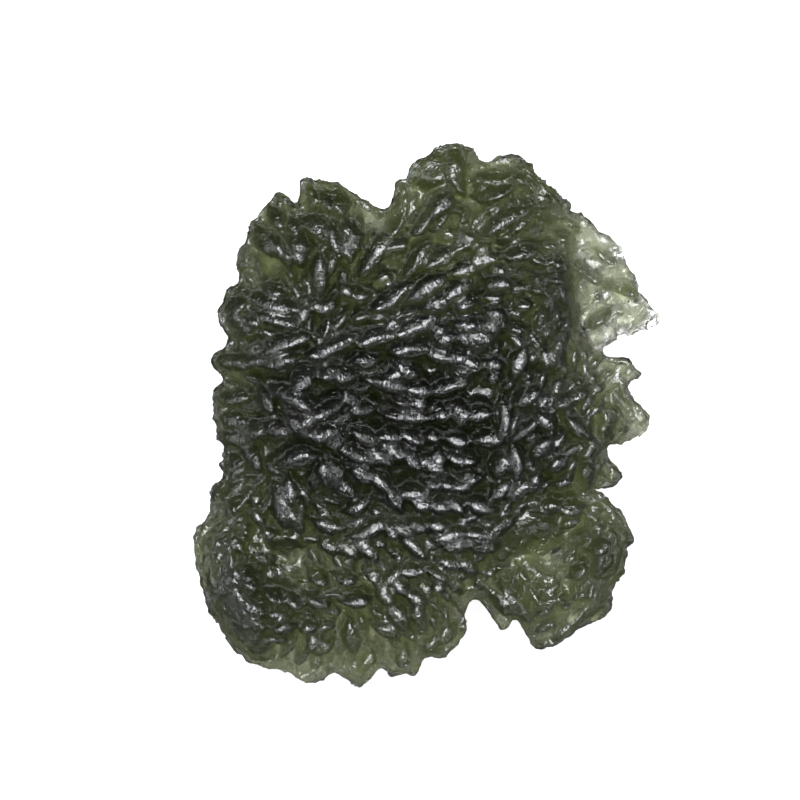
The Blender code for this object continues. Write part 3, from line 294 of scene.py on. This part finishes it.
FACE_RIDGES = FAN_RIDGES + SADDLE_RIDGES + BASIN_RIDGES + SIDE_RIDGES + LOWER_RIDGES

# Places where the face stays smooth, or takes only fine sculpture: middle, reach along x and y.
SMOOTH_PLACES = [
    (-7.3, -7.1, 1.3, 1.0), (0.1, 12.0, 1.3, 1.1), (-1.6, 7.7, 0.6, 0.5), (1.0, 8.7, 0.7, 0.4),
    (8.8, 6.8, 2.4, 3.2), (10.0, -0.4, 1.4, 3.8), (5.2, -6.0, 1.8, 1.6), (2.2, -8.9, 0.9, 0.7),
    (3.8, 8.6, 0.9, 0.4), (-2.2, 6.6, 0.6, 0.5),
]

# The ridges' own sizes, in millimetres where they aren't shares.
RIDGE_HALF_WIDTH = 0.44
RIDGE_HEIGHT = 0.62  # from the middle of a ridge's flank to its crest
CREVICE_DEPTH = 0.75  # from there down to the deepest crevices
RIDGE_ROUNDNESS = 3.2  # 2 is a round crest, more is a broader one with steeper flanks
RIDGE_TILT = 0.12  # how far a crest leans towards the domed end
RIDGE_TAPER = 0.45  # how much narrower a ridge is at its ends
RIDGE_DROOP = 0.22  # how much lower a ridge is at its ends, as a share of its crest
DEEPEST = -1.5  # the relief of the deepest crevices
WANDER = 0.12  # how far a straight ridge bows
LEAN = (0.06, -0.30)  # how far a crest is pushed over along x and y, as a share of its height
MIDDLE_CREST = 0.25  # the height at which a crest's lean is taken for its fine cracks
VEIN_HEIGHT = 1.5
VEIN_WIDTH = 0.7  # as a share of a ridge's
FILL_SPACING = 0.36
FILL_STRAY = 0.18  # how far a filling ridge strays from its even place
FILL_LENGTH = 0.9
FILL_GAP = 0.46  # a filling ridge begins no nearer than this to its neighbours
FILL_PROMINENCE = 0.15  # a filling ridge's crest as a share of a listed one's
BACK_RIDGE_SPACING = 1.15
BACK_RING_SPACING = 1.75
BACK_RIDGE_HEIGHT = 0.45
BACK_RIDGE_HALF_WIDTH = 0.55

# Heights of the soft lumps and of the fine etching, in millimetres.
FACE_LUMPS = 0.22
BACK_LUMPS = 0.4
FLANGE_LUMPS = (0.12, 0.05)  # broad and fine ones, as shares of the flange's own step
LAYER_DEPTH = 0.13
FINE_LAYER_DEPTH = 0.08
DIMPLE_DEPTH = 0.03

SEED = 7
SLAB_HALF = 0.5  # half the thickness of the plate that the stone is drawn out from
SLAB_VOXEL = 0.10
SKIN_VOXEL = 0.10
TRIANGLES = 196000  # about how many the finished mesh has
BACK_SHARE = 0.3  # what the back is thinned for, as a share of all triangles, if it can give up so many
FLOOR_LEVEL = -0.50  # the surface that the stone rests on, in the heights' own measure

# Fields of small pits on the face: from and to along x, then along y, and how far apart they are.
PIT_FIELDS = [
    (4.4, 8.6, -9.9, -5.4), (-9.6, -5.6, -8.4, -5.4), (-2.0, 1.2, 7.2, 9.4), (-1.2, 2.2, 10.8, 12.8),
]
PIT_ROWS = 0.42
PIT_STEP = 0.36
PIT_STRAY = 0.12
PIT_REACH = 0.4  # nothing farther from a pit's middle is pressed in

GLASS_IOR = 1.49
GLASS_DEPTH = 1200  # how strongly the glass absorbs, per metre
GLASS_TINT = (0.338, 0.392, 0.070)

# The etched skin's colour, from the darkest, which only painted shade reaches, over plain to the clearest,
# which the grain's specks and painted light reach, and its roughness on the ridges and on the bare flanks.
SKIN_PAINTED_SHADE = (0.22, 0.22, 0.21, 1.0)
SKIN_PLAIN = (0.62, 0.62, 0.60, 1.0)
SKIN_CLEAR_AND_PAINTED_LIGHT = (1.0, 1.0, 1.0, 1.0)
SKIN_ROUGHNESS = (0.28, 0.32)
ETCHING_HEIGHT = 0.020

# The skin's fine patterns, in waves per metre along x, y and z.
LAYER_WAVES = (650.0, 650.0, 2600.0)
PIT_WAVES = (3400.0, 3400.0, 3400.0)
SATIN_WAVES = (6500.0, 6500.0, 6500.0)
CRACK_WAVES = (6.5, 1.2, 1.0)  # per millimetre along and across a ridge
RIDGE_SHIFT = 3.7  # sets the cracks of each ridge apart from those of the next

# The studio, in metres: each light's width and height, its brightness, and where it stands.
SOFTBOX = (0.30, 0.28, 26)
SOFTBOX_PLACE = (-0.02, 0.115, 0.31)
LOW_PANEL = (0.26, 0.05, 5)
LOW_PANEL_AWAY, LOW_PANEL_HEIGHT = 0.20, 0.045
SIDE_PANEL = (0.20, 0.16, 3)
SIDE_PANEL_AWAY, SIDE_PANEL_BACK, SIDE_PANEL_HEIGHT = 0.26, 0.02, 0.17
LIGHT_COLOUR = (0.95, 0.97, 1.0)
STUDIO_GREY = (0.035, 0.035, 0.035, 1.0)
SHEET_SIZE = 0.6
SHEET_GREY = (0.15, 0.15, 0.15, 1.0)
SHEET_GLOW = 0.9

VIEW_MIDDLE = (-1.45, 0.8)  # the place under the lens, in millimetres
VIEW_WIDTH = 40  # what the picture takes in, in millimetres
LENS = 135
SENSOR = 36


def forms_at(x, y, forms):
    """The sum of some mounds and hollows."""
    total = np.zeros_like(x)
    for middle_x, middle_y, reach_x, reach_y, height in forms.values():
        total += height * np.exp(-(((x - middle_x) / reach_x) ** 2) - ((y - middle_y) / reach_y) ** 2)
    return total


def plates_at(x, y, plates):
    """The sum of some level places, each nearly square, with a steep step round it."""
    total = np.zeros_like(x)
    for middle_x, middle_y, reach_x, reach_y, height in plates.values():
        away = ((x - middle_x) / reach_x) ** 4 + ((y - middle_y) / reach_y) ** 4
        total += height * np.exp(-(away**3))
    return total


def distance_to_outline(x, y):
    """How far each point lies inside the outline."""
    nearest = np.full_like(x, 1e9)
    for (ax, ay), (bx, by) in zip(OUTLINE, OUTLINE[1:] + OUTLINE[:1]):
        span_x, span_y = bx - ax, by - ay
        along = ((x - ax) * span_x + (y - ay) * span_y) / (span_x**2 + span_y**2)
        along = np.clip(along, 0, 1)
        nearest = np.minimum(nearest, np.hypot(x - ax - along * span_x, y - ay - along * span_y))
    return nearest


def inside_outline(x, y):
    """Whether one point lies inside the outline."""
    inside = False
    for (ax, ay), (bx, by) in zip(OUTLINE, OUTLINE[1:] + OUTLINE[:1]):
        if (ay > y) != (by > y) and x < ax + (y - ay) * (bx - ax) / (by - ay):
            inside = not inside
    return inside


def tilts_at(x, y, tilts):
    """The sum of some tilted facets, each level at its middle and fading out round it."""
    total = np.zeros_like(x)
    for middle_x, middle_y, reach_x, reach_y, rise_x, rise_y in tilts.values():
        from_x, from_y = x - middle_x, y - middle_y
        share = np.exp(-((from_x / reach_x) ** 2) - (from_y / reach_y) ** 2)
        total += (rise_x * from_x + rise_y * from_y) * share
    return total


def flank_width(x, y):
    """How wide the bare band inside the outline is near each point."""
    width = np.full_like(x, BARE_EDGE)
    for middle_x, middle_y, reach_x, reach_y, most in FLANK_BANDS:
        away = ((x - middle_x) / reach_x) ** 2 + ((y - middle_y) / reach_y) ** 2
        width = np.maximum(width, most * np.exp(-(away**2)))
    return width


def clear_of_flank(x, y, inside):
    """0 on the bare flank to 1 on the ridged face."""
    return np.clip((inside - flank_width(x, y)) / 0.5 + 0.5, 0, 1)


def swell(inside, height, slope):
    """Height over the seam: steep from the blunt edge, then level."""
    height = np.maximum(height, 0.2)
    rise = slope * inside / height
    return height * (RIM_SHARE + (1 - RIM_SHARE) * rise / (1 + rise**4) ** 0.25)


def ridge_relief(x, y, ridges, half_width):
    """The ridges' relief, from DEEPEST in the crevices over 0 on the flanks to 1 on the crests, with each
    point's place along and across its ridge and that ridge's number."""
    relief = np.full_like(x, DEEPEST)
    grain = np.zeros((len(x), 3))
    for number, (ax, ay, bx, by, prominence, width) in enumerate(ridges):
        length = math.hypot(bx - ax, by - ay)
        along_x, along_y = (bx - ax) / length, (by - ay) / length
        half = half_width * width
        reach = length / 2 + 2 * half
        near = np.flatnonzero((np.abs(x - (ax + bx) / 2) < reach) & (np.abs(y - (ay + by) / 2) < reach))
        from_x, from_y = x[near] - (ax + bx) / 2, y[near] - (ay + by) / 2
        along = from_x * along_x + from_y * along_y
        across = from_y * along_x - from_x * along_y
        beyond = np.maximum(np.abs(along) - length / 2 + 0.6 * half, 0)
        to_end = np.minimum((2 * along / length) ** 2, 1)
        away = np.hypot(across / (1 - RIDGE_TAPER * to_end), beyond * 0.8) / half
        arch = 1 - RIDGE_DROOP * to_end * min(length / 2, 1)
        tilt = RIDGE_TILT * prominence * np.clip(from_y / half, -2, 2)
        height = arch * prominence - away**RIDGE_ROUNDNESS - tilt
        higher = height > relief[near]
        won = near[higher]
        relief[won] = height[higher]
        grain[won] = np.column_stack([along, across, np.full_like(along, number)])[higher]
    return relief, grain


def wander(x, y):
    """The places with a slight wander, so that straight ridges come out bowed."""
    plan = np.column_stack([x, y, np.zeros_like(x)])
    return x + WANDER * lumps(plan, 1.3, 31), y + WANDER * lumps(plan, 1.3, 37)


def smooth_share(x, y):
    """0 in the smooth places to 1 well away from them."""
    share = np.ones_like(x)
    for middle_x, middle_y, reach_x, reach_y in SMOOTH_PLACES:
        away = ((x - middle_x) / reach_x) ** 2 + ((y - middle_y) / reach_y) ** 2
        share *= 1 - np.exp(-(away**2))
    deepest = min(plate[4] for plate in FACE_PLATES.values())
    return share * (1 - plates_at(x, y, FACE_PLATES) / deepest)


def filling_ridges(listed, rng):
    """Small ridges in the gaps that the listed ones leave, running the same way as their neighbours."""
    ends = np.array(listed)
    middles = (ends[:, :2] + ends[:, 2:4]) / 2
    turns = 2 * np.arctan2(ends[:, 3] - ends[:, 1], ends[:, 2] - ends[:, 0])
    found = []
    reach_x = max(x for x, y in OUTLINE)
    reach_y = max(y for x, y in OUTLINE)
    for row in np.arange(-reach_y - 1, reach_y + 1, FILL_SPACING):
        for column in np.arange(-reach_x - 1, reach_x + 1, FILL_SPACING):
            x = column + rng.uniform(-FILL_STRAY, FILL_STRAY)
            y = row + rng.uniform(-FILL_STRAY, FILL_STRAY)
            if distance_to_ridges(x, y, listed + found) < FILL_GAP or not inside_outline(x, y):
                continue
            if any(math.hypot((x - px) / rx, (y - py) / ry) < 1 for px, py, rx, ry in OPEN_PLACES):
                continue
            near = np.exp(-((middles[:, 0] - x) ** 2 + (middles[:, 1] - y) ** 2) / 1.6)
            turn = math.atan2((near * np.sin(turns)).sum(), (near * np.cos(turns)).sum()) / 2
            turn += rng.uniform(-0.45, 0.45)
            half = FILL_LENGTH * rng.uniform(0.25, 0.6)
            found.append((x - half * math.cos(turn), y - half * math.sin(turn),
                          x + half * math.cos(turn), y + half * math.sin(turn),
                          FILL_PROMINENCE * rng.uniform(0, 2), rng.uniform(0.45, 0.8)))
    return found


def distance_to_ridges(x, y, ridges):
    """How far one point is from the middle line of the nearest ridge."""
    ax, ay, bx, by = np.array(ridges).T[:4]
    span_x, span_y = bx - ax, by - ay
    along = np.clip(((x - ax) * span_x + (y - ay) * span_y) / (span_x**2 + span_y**2), 0, 1)
    return np.hypot(x - ax - along * span_x, y - ay - along * span_y).min()


def back_ridges(rng):
    """Ridges on the back, which spread from its middle to the edge like the ribs of a fan."""
    found = []
    for ring in np.arange(1.6, 12.5, BACK_RING_SPACING):
        count = int(2 * math.pi * ring / BACK_RIDGE_SPACING)
        for step in range(count):
            turn = 2 * math.pi * (step + 0.5 * rng.uniform(-0.5, 0.5)) / count + ring
            middle_x = ring * math.cos(turn) * 0.9
            middle_y = ring * math.sin(turn) * 1.08
            lean = turn + rng.uniform(-0.35, 0.35)
            half = rng.uniform(0.6, 1.1)
            found.append((middle_x - half * math.cos(lean), middle_y - half * math.sin(lean),
                          middle_x + half * math.cos(lean), middle_y + half * math.sin(lean), 1.0, 1.0))
    return found


def lumps(points, size, seed):
    """Smooth random lumps of about this size, from -1 to 1."""
    lattice = np.random.default_rng(seed).uniform(-1, 1, (32, 32, 32))
    place = points / size + 512
    low = np.floor(place).astype(int)
    part = place - low
    part = part * part * (3 - 2 * part)
    total = np.zeros(len(points))
    for corner in itertools.product((0, 1), repeat=3):
        share = np.prod(np.where(corner, part, 1 - part), axis=1)
        total += share * lattice[tuple(((low + corner) % 32).T)]
    return 1.3 * total


def add_modifier(obj, kind, **settings):
    """Adds one modifier as by hand and applies it."""
    bpy.ops.object.modifier_add(type=kind)
    added = obj.modifiers[-1]
    for name, value in settings.items():
        setattr(added, name, value)
    bpy.ops.object.modifier_apply(modifier=added.name)


def outline_plate():
    """The outline as a flat plate of small even faces."""
    curve = bpy.data.curves.new("moldavite glass", "CURVE")
    curve.dimensions = "2D"
    curve.fill_mode = "BOTH"
    curve.extrude = SLAB_HALF * MM
    spline = curve.splines.new("POLY")
    spline.points.add(len(OUTLINE) - 1)
    for point, (x, y) in zip(spline.points, OUTLINE):
        point.co = (x * MM, y * MM, 0.0, 1.0)
    spline.use_cyclic_u = True
    plate = bpy.data.objects.new("moldavite_glass", curve)
    bpy.context.collection.objects.link(plate)
    bpy.ops.object.select_all(action="DESELECT")
    plate.select_set(True)
    bpy.context.view_layer.objects.active = plate
    bpy.ops.object.convert(target="MESH")
    add_modifier(plate, "REMESH", mode="VOXEL", voxel_size=SLAB_VOXEL * MM)
    return plate


def points_of(obj):
    """The mesh's points in millimetres, one row each."""
    flat = np.empty(len(obj.data.vertices) * 3)
    obj.data.vertices.foreach_get("co", flat)
    return flat.reshape(-1, 3) / MM


def normals_of(obj):
    """The normals at the mesh's points, one row each."""
    flat = np.empty(len(obj.data.vertices) * 3)
    obj.data.vertices.foreach_get("normal", flat)
    return flat.reshape(-1, 3)


def move_points(obj, points):
    """Puts the mesh's points at these places, given in millimetres."""
    obj.data.vertices.foreach_set("co", (points * MM).ravel())
    obj.data.update()


def sculpture(stone, face_ridges, ribs_of_back):
    """Turns the flat plate into the stone: its body first, then the ridges of its face and its back."""
    points = points_of(stone)
    x, y = points[:, 0].copy(), points[:, 1].copy()
    side = np.clip(points[:, 2] / SLAB_HALF, -1, 1)
    inside = distance_to_outline(x, y)
    plan = np.column_stack([x, y, np.zeros_like(x)])
    seam = SEAM_HEIGHT + SEAM_WANDER * lumps(plan, 5.5, 3)
    slope = FLANK_SLOPE + BAND_SLOPE * flank_width(x, y)
    face = swell(inside, FACE_RISE + forms_at(x, y, FACE_FORMS) + tilts_at(x, y, FACE_TILTS)
                 + plates_at(x, y, FACE_PLATES), slope)
    flange = plates_at(x, y, FACE_PLATES)
    broad, fine = FLANGE_LUMPS
    face += broad * flange * np.abs(lumps(plan, 0.8, 41)) + fine * flange * lumps(plan, 0.4, 43)
    face += forms_at(x, y, PITS) + FACE_LUMPS * lumps(plan, 2.2, 5) * np.minimum(inside, 1)
    back = swell(inside, BACK_DROP + forms_at(x, y, BACK_FORMS) + plates_at(x, y, BACK_PLATES), slope)
    back += BACK_LUMPS * lumps(plan, 2.6, 9) * np.minimum(inside, 1)
    near_edge = np.clip(inside / 0.4, 0, 1)
    ridged = (0.12 + 0.88 * smooth_share(x, y)) * (0.08 + 0.92 * clear_of_flank(x, y, inside))
    relief = ridge_relief(*wander(x, y), face_ridges, RIDGE_HALF_WIDTH)[0]
    crests = np.where(relief > 0, RIDGE_HEIGHT, CREVICE_DEPTH) * relief * near_edge * ridged
    veins = [(*vein, 1.0, VEIN_WIDTH) for vein in FLANGE_VEINS]
    vein_relief = ridge_relief(*wander(x, y), veins, RIDGE_HALF_WIDTH)[0]
    crests += VEIN_HEIGHT * np.maximum(vein_relief, 0) * near_edge
    ribs = ridge_relief(x, y, ribs_of_back, BACK_RIDGE_HALF_WIDTH)[0] * BACK_RIDGE_HEIGHT * near_edge
    upper = np.clip(side, 0, 1)
    lower = np.clip(-side, 0, 1)
    points[:, 2] = seam + upper * (face + crests) - lower * (back + ribs) - FLOOR_LEVEL
    points[:, 0] += LEAN[0] * crests * upper
    points[:, 1] += LEAN[1] * crests * upper
    move_points(stone, points)


def pit_rows(x, y):
    """Small round pits in rows down the cup and the smooth places."""
    depth = np.zeros_like(x)
    rng = np.random.default_rng(SEED + 1)
    for low_x, high_x, low_y, high_y in PIT_FIELDS:
        for row in np.arange(low_y, high_y, PIT_ROWS):
            for column in np.arange(low_x, high_x, PIT_STEP):
                at_x = column + rng.uniform(-PIT_STRAY, PIT_STRAY) + 0.2 * row
                at_y = row + rng.uniform(-PIT_STRAY, PIT_STRAY)
                size, deep = rng.uniform(0.09, 0.16), rng.uniform(0.0, 0.14)
                near = np.flatnonzero((np.abs(x - at_x) < PIT_REACH) & (np.abs(y - at_y) < PIT_REACH))
                away = ((x[near] - at_x) ** 2 + (y[near] - at_y) ** 2) / size**2
                depth[near] += deep * np.exp(-away)
    return depth


def fine_etching(stone):
    """Fine layers round the steep flanks and small pits everywhere, along the skin's own normals."""
    points, normals = points_of(stone), normals_of(stone)
    x, y = points[:, 0], points[:, 1]
    upper = normals[:, 2] > 0
    bare = np.where(upper, 1 - 0.8 * clear_of_flank(x, y, distance_to_outline(x, y)), 0.5)
    steep = np.clip(1.25 - 1.25 * np.abs(normals[:, 2]), 0, 1) * bare
    wavy = points + 0.25 * lumps(points, 0.8, 19)[:, None]
    layers = 1 - 2.5 * np.abs(lumps(wavy * (0.55, 0.55, 2.6), 1.0, 11))
    fine_layers = 1 - 2.5 * np.abs(lumps(wavy * (0.9, 0.9, 5.0), 1.0, 23))
    dimples = lumps(points, 0.30, 13) + 0.7 * lumps(points, 0.19, 17)
    depth = steep * (LAYER_DEPTH * layers + FINE_LAYER_DEPTH * fine_layers) + DIMPLE_DEPTH * dimples
    depth -= np.where(upper, pit_rows(x, y), 0)
    move_points(stone, points + normals * depth[:, None])


def thin_out(stone):
    """Fewer triangles on the back, which is seen least and comes out coarse, then on the whole stone."""
    back = stone.vertex_groups.new(name="back")
    back.add(np.flatnonzero(points_of(stone)[:, 2] < SEAM_HEIGHT - 0.5).tolist(), 1.0, "REPLACE")
    add_modifier(stone, "DECIMATE", ratio=BACK_SHARE, vertex_group="back")
    stone.vertex_groups.clear()
    triangles = sum(len(face.vertices) - 2 for face in stone.data.polygons)
    if triangles > TRIANGLES:
        add_modifier(stone, "DECIMATE", ratio=TRIANGLES / triangles)


def drop_crumbs(stone):
    """Removes the loose specks that the remeshing leaves, so that the stone is one body."""
    shape = bmesh.new()
    shape.from_mesh(stone.data)
    waiting, bodies = set(shape.verts), []
    while waiting:
        body, edge = set(), [waiting.pop()]
        while edge:
            corner = edge.pop()
            body.add(corner)
            near = {side.other_vert(corner) for side in corner.link_edges} & waiting
            waiting -= near
            edge.extend(near)
        bodies.append(body)
    stone_body = max(bodies, key=len)
    crumbs = [corner for corner in shape.verts if corner not in stone_body]
    bmesh.ops.delete(shape, geom=crumbs, context="VERTS")
    shape.to_mesh(stone.data)
    shape.free()


def rest_on_floor(stone):
    """Cuts the flat spot that the stone rests on."""
    bpy.ops.object.mode_set(mode="EDIT")
    bpy.ops.mesh.select_all(action="SELECT")
    bpy.ops.mesh.bisect(plane_co=(0, 0, 0), plane_no=(0, 0, 1), use_fill=True, clear_inner=True)
    bpy.ops.object.mode_set(mode="OBJECT")


def mark_grain(stone, face_ridges):
    """Keeps each point's place along and across its ridge, for the fine cracks over the crests, its share
    of bare flank, for the layers there, and its tone with the painted light and shade on the skin."""
    points = points_of(stone)
    x, y = points[:, 0], points[:, 1]
    _, grain = ridge_relief(*wander(x, y - LEAN[1] * MIDDLE_CREST), face_ridges, RIDGE_HALF_WIDTH)
    grain[:, 2] *= RIDGE_SHIFT
    layer = stone.data.attributes.new("grain", "FLOAT_VECTOR", "POINT")
    layer.data.foreach_set("vector", grain.ravel())
    inside = distance_to_outline(x, y)
    flank = np.maximum(1 - clear_of_flank(x, y, inside), np.clip(1.2 - inside / 0.5, 0, 1))
    share = stone.data.attributes.new("flank", "FLOAT", "POINT")
    share.data.foreach_set("value", flank)
    # The tone: the plain one, with painted shade in the basin and on the facet that faces away from the
    # light, and painted light in the cup, on the flange and on the upper strip.
    tone_with_painted_light_and_shade = np.full(len(x), PLAIN_TONE)
    for middle_x, middle_y, reach_x, reach_y, amount in PAINTED_LIGHT_AND_SHADE:
        away = np.hypot((x - middle_x) / reach_x, (y - middle_y) / reach_y)
        tone_with_painted_light_and_shade += amount * np.clip(1.5 - away, 0, 1)
    shade = stone.data.attributes.new("tone_with_painted_light_and_shade", "FLOAT", "POINT")
    shade.data.foreach_set("value", tone_with_painted_light_and_shade)


def model_stone():
    """The whole stone, as one closed mesh."""
    rng = np.random.default_rng(SEED)
    listed = [(*ridge, 1.0, 1.0) for ridge in FACE_RIDGES]
    face_ridges = listed + filling_ridges(listed, rng)
    stone = outline_plate()
    sculpture(stone, face_ridges, back_ridges(rng))
    add_modifier(stone, "REMESH", mode="VOXEL", voxel_size=SKIN_VOXEL * MM)
    fine_etching(stone)
    thin_out(stone)
    drop_crumbs(stone)
    rest_on_floor(stone)
    mark_grain(stone, face_ridges)
    bpy.ops.object.shade_smooth()
    return stone


def etching_group():
    """The fine etching's height, from cracks across the crests, layers round the flanks, pits and a satin
    grain, and the skin's tone, with painted light and shade on it and painted highlight streaks and shade
    on the bare flanks."""
    group = bpy.data.node_groups.new("Fine etching", "ShaderNodeTree")
    group.interface.new_socket("Grain", in_out="INPUT", socket_type="NodeSocketVector")
    group.interface.new_socket("Place", in_out="INPUT", socket_type="NodeSocketVector")
    group.interface.new_socket("Flank", in_out="INPUT", socket_type="NodeSocketFloat")
    group.interface.new_socket("Tone with painted light and shade", in_out="INPUT", socket_type="NodeSocketFloat")
    group.interface.new_socket("Height", in_out="OUTPUT", socket_type="NodeSocketFloat")
    group.interface.new_socket("Skin", in_out="OUTPUT", socket_type="NodeSocketFloat")
    nodes, links = group.nodes, group.links
    taken, given = nodes.new("NodeGroupInput"), nodes.new("NodeGroupOutput")

    def noise(source, stretch, detail, contrast, middle=0.5):
        """One noise, stretched, and pushed apart round a middle value."""
        scaled = nodes.new("ShaderNodeVectorMath")
        scaled.operation = "MULTIPLY"
        scaled.inputs[1].default_value = stretch
        texture = nodes.new("ShaderNodeTexNoise")
        texture.inputs["Scale"].default_value = 1.0
        texture.inputs["Detail"].default_value = detail
        spread = nodes.new("ShaderNodeMapRange")
        spread.inputs["From Min"].default_value = middle - contrast
        spread.inputs["From Max"].default_value = middle + contrast
        links.new(source, scaled.inputs[0])
        links.new(scaled.outputs[0], texture.inputs["Vector"])
        links.new(texture.outputs["Fac"], spread.inputs["Value"])
        return spread.outputs["Result"]

    def add(first, second, share):
        """The first value plus a share, a number or a mask, of the second."""
        total = nodes.new("ShaderNodeMath")
        total.operation = "MULTIPLY_ADD"
        if isinstance(share, float):
            total.inputs[1].default_value = share
        else:
            links.new(share, total.inputs[1])
        links.new(second, total.inputs[0])
        links.new(first, total.inputs[2])
        return total.outputs[0]

    place, flank = taken.outputs["Place"], taken.outputs["Flank"]
    cracks = noise(taken.outputs["Grain"], CRACK_WAVES, 2.0, 0.14)
    layers = noise(place, LAYER_WAVES, 2.5, 0.14)
    pits = noise(place, PIT_WAVES, 2.0, 0.06, 0.64)
    satin = noise(place, SATIN_WAVES, 3.0, 0.25)
    height = add(add(add(cracks, layers, 0.5), satin, 1.1), pits, -3.0)
    height = add(height, add(layers, layers, 5.0), flank)
    # The skin's tone: the plain tone with its painted light and shade, random specks of grain, and on the
    # bare flanks painted highlight streaks along the layers and painted shade that darkens the flanks.
    specks = noise(place, SATIN_WAVES, 4.0, 0.12, 0.46)
    painted_highlight_streaks = noise(place, LAYER_WAVES, 2.5, 0.08)
    skin = add(taken.outputs["Tone with painted light and shade"], specks, 0.55)
    skin = add(add(skin, painted_highlight_streaks, flank), flank, -0.4)
    links.new(height, given.inputs["Height"])
    links.new(skin, given.inputs["Skin"])
    return group


def glass():
    """Bottle-green glass that absorbs with depth, with a satin etched skin whose colour carries painted
    light and shade.
    """
    material = bpy.data.materials.new("etched green glass")
    material.use_nodes = True
    nodes, links = material.node_tree.nodes, material.node_tree.links
    shader = nodes["Principled BSDF"]
    # The skin's colour: its dark end is painted shade only, its clear end clear grain and painted light.
    skin = nodes.new("ShaderNodeValToRGB")
    skin.color_ramp.elements[0].color = SKIN_PAINTED_SHADE
    skin.color_ramp.elements[1].color = SKIN_CLEAR_AND_PAINTED_LIGHT
    skin.color_ramp.elements.new(PLAIN_TONE).color = SKIN_PLAIN
    shader.inputs["Transmission Weight"].default_value = 1.0
    shader.inputs["IOR"].default_value = GLASS_IOR
    grain = nodes.new("ShaderNodeAttribute")
    grain.attribute_name = "grain"
    place = nodes.new("ShaderNodeTexCoord")
    flank = nodes.new("ShaderNodeAttribute")
    flank.attribute_name = "flank"
    tone_with_painted_light_and_shade = nodes.new("ShaderNodeAttribute")
    tone_with_painted_light_and_shade.attribute_name = "tone_with_painted_light_and_shade"
    rough = nodes.new("ShaderNodeMapRange")
    rough.inputs["To Min"].default_value = SKIN_ROUGHNESS[0]
    rough.inputs["To Max"].default_value = SKIN_ROUGHNESS[1]
    etching = nodes.new("ShaderNodeGroup")
    etching.node_tree = etching_group()
    bump = nodes.new("ShaderNodeBump")
    bump.inputs["Distance"].default_value = ETCHING_HEIGHT * MM
    bump.inputs["Strength"].default_value = 1.0
    depth = nodes.new("ShaderNodeVolumeAbsorption")
    depth.inputs["Color"].default_value = (*GLASS_TINT, 1.0)
    depth.inputs["Density"].default_value = GLASS_DEPTH
    links.new(grain.outputs["Vector"], etching.inputs["Grain"])
    links.new(place.outputs["Object"], etching.inputs["Place"])
    links.new(flank.outputs["Fac"], etching.inputs["Flank"])
    links.new(tone_with_painted_light_and_shade.outputs["Fac"], etching.inputs["Tone with painted light and shade"])
    links.new(flank.outputs["Fac"], rough.inputs["Value"])
    links.new(rough.outputs["Result"], shader.inputs["Roughness"])
    links.new(etching.outputs["Height"], bump.inputs["Height"])
    links.new(etching.outputs["Skin"], skin.inputs["Fac"])
    links.new(skin.outputs["Color"], shader.inputs["Base Color"])
    links.new(bump.outputs["Normal"], shader.inputs["Normal"])
    links.new(depth.outputs["Volume"], nodes["Material Output"].inputs["Volume"])
    return material


def floor():
    """A white sheet, lit from below as well, as on a light table. The stone doesn't mirror it, so that its
    steep flanks stay clear of haze."""
    bpy.ops.mesh.primitive_plane_add(size=SHEET_SIZE)
    sheet = bpy.context.object
    sheet.name = "white_sheet"
    material = bpy.data.materials.new("white sheet")
    material.use_nodes = True
    shader = material.node_tree.nodes["Principled BSDF"]
    shader.inputs["Base Color"].default_value = SHEET_GREY
    shader.inputs["Roughness"].default_value = 0.9
    shader.inputs["Specular IOR Level"].default_value = 0.0
    shader.inputs["Emission Color"].default_value = (1.0, 1.0, 1.0, 1.0)
    shader.inputs["Emission Strength"].default_value = SHEET_GLOW
    sheet.data.materials.append(material)
    sheet.visible_glossy = False


def soft_light(name, size_x, size_y, radiance, place):
    """A softbox of one brightness, as wide and high as it is said to be, which faces the stone."""
    lamp = bpy.data.lights.new(name, "AREA")
    lamp.shape = "RECTANGLE"
    lamp.size, lamp.size_y = size_x, size_y
    lamp.color = LIGHT_COLOUR
    lamp.energy = radiance * math.pi * size_x * size_y
    obj = bpy.data.objects.new(name, lamp)
    obj.location = place
    obj.rotation_euler = (-Vector(place)).to_track_quat("-Z", "Y").to_euler()
    obj.visible_transmission = False
    bpy.context.collection.objects.link(obj)


def lights():
    """A large softbox above the domed end, and weak panels low down and to the sides."""
    soft_light("overhead softbox", *SOFTBOX, SOFTBOX_PLACE)
    for name, turn in (("right", 0), ("front", -90), ("left", 180)):
        side = Vector((math.cos(math.radians(turn)), math.sin(math.radians(turn)), 0))
        place = side * LOW_PANEL_AWAY + Vector((0, 0, LOW_PANEL_HEIGHT))
        soft_light("low panel " + name, *LOW_PANEL, place)
        if name != "front":
            place = side * SIDE_PANEL_AWAY + Vector((0, SIDE_PANEL_BACK, SIDE_PANEL_HEIGHT))
            soft_light("side panel " + name, *SIDE_PANEL, place)
    world = bpy.data.worlds.new("dim studio")
    world.use_nodes = True
    world.node_tree.nodes["Background"].inputs["Color"].default_value = STUDIO_GREY
    bpy.context.scene.world = world


def camera():
    """Straight above the stone, with a long lens."""
    lens = bpy.data.cameras.new("camera")
    lens.lens = LENS
    lens.sensor_width = SENSOR
    lens.clip_start = 0.01
    obj = bpy.data.objects.new("camera", lens)
    height = SEAM_HEIGHT + VIEW_WIDTH * LENS / SENSOR
    obj.location = (VIEW_MIDDLE[0] * MM, VIEW_MIDDLE[1] * MM, height * MM)
    bpy.context.collection.objects.link(obj)
    bpy.context.scene.camera = obj


def studio():
    """All that stands round the stone, and how its picture is worked out."""
    floor()
    lights()
    camera()
    scene = bpy.context.scene
    scene.view_settings.view_transform = "Standard"
    scene.cycles.max_bounces = 24
    scene.cycles.transmission_bounces = 24
    scene.cycles.glossy_bounces = 8
    scene.cycles.sample_clamp_indirect = 2


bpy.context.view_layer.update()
stone = model_stone()
stone.data.materials.clear()
stone.data.materials.append(glass())
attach(stone, "root")
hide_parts("moldavite")
studio()
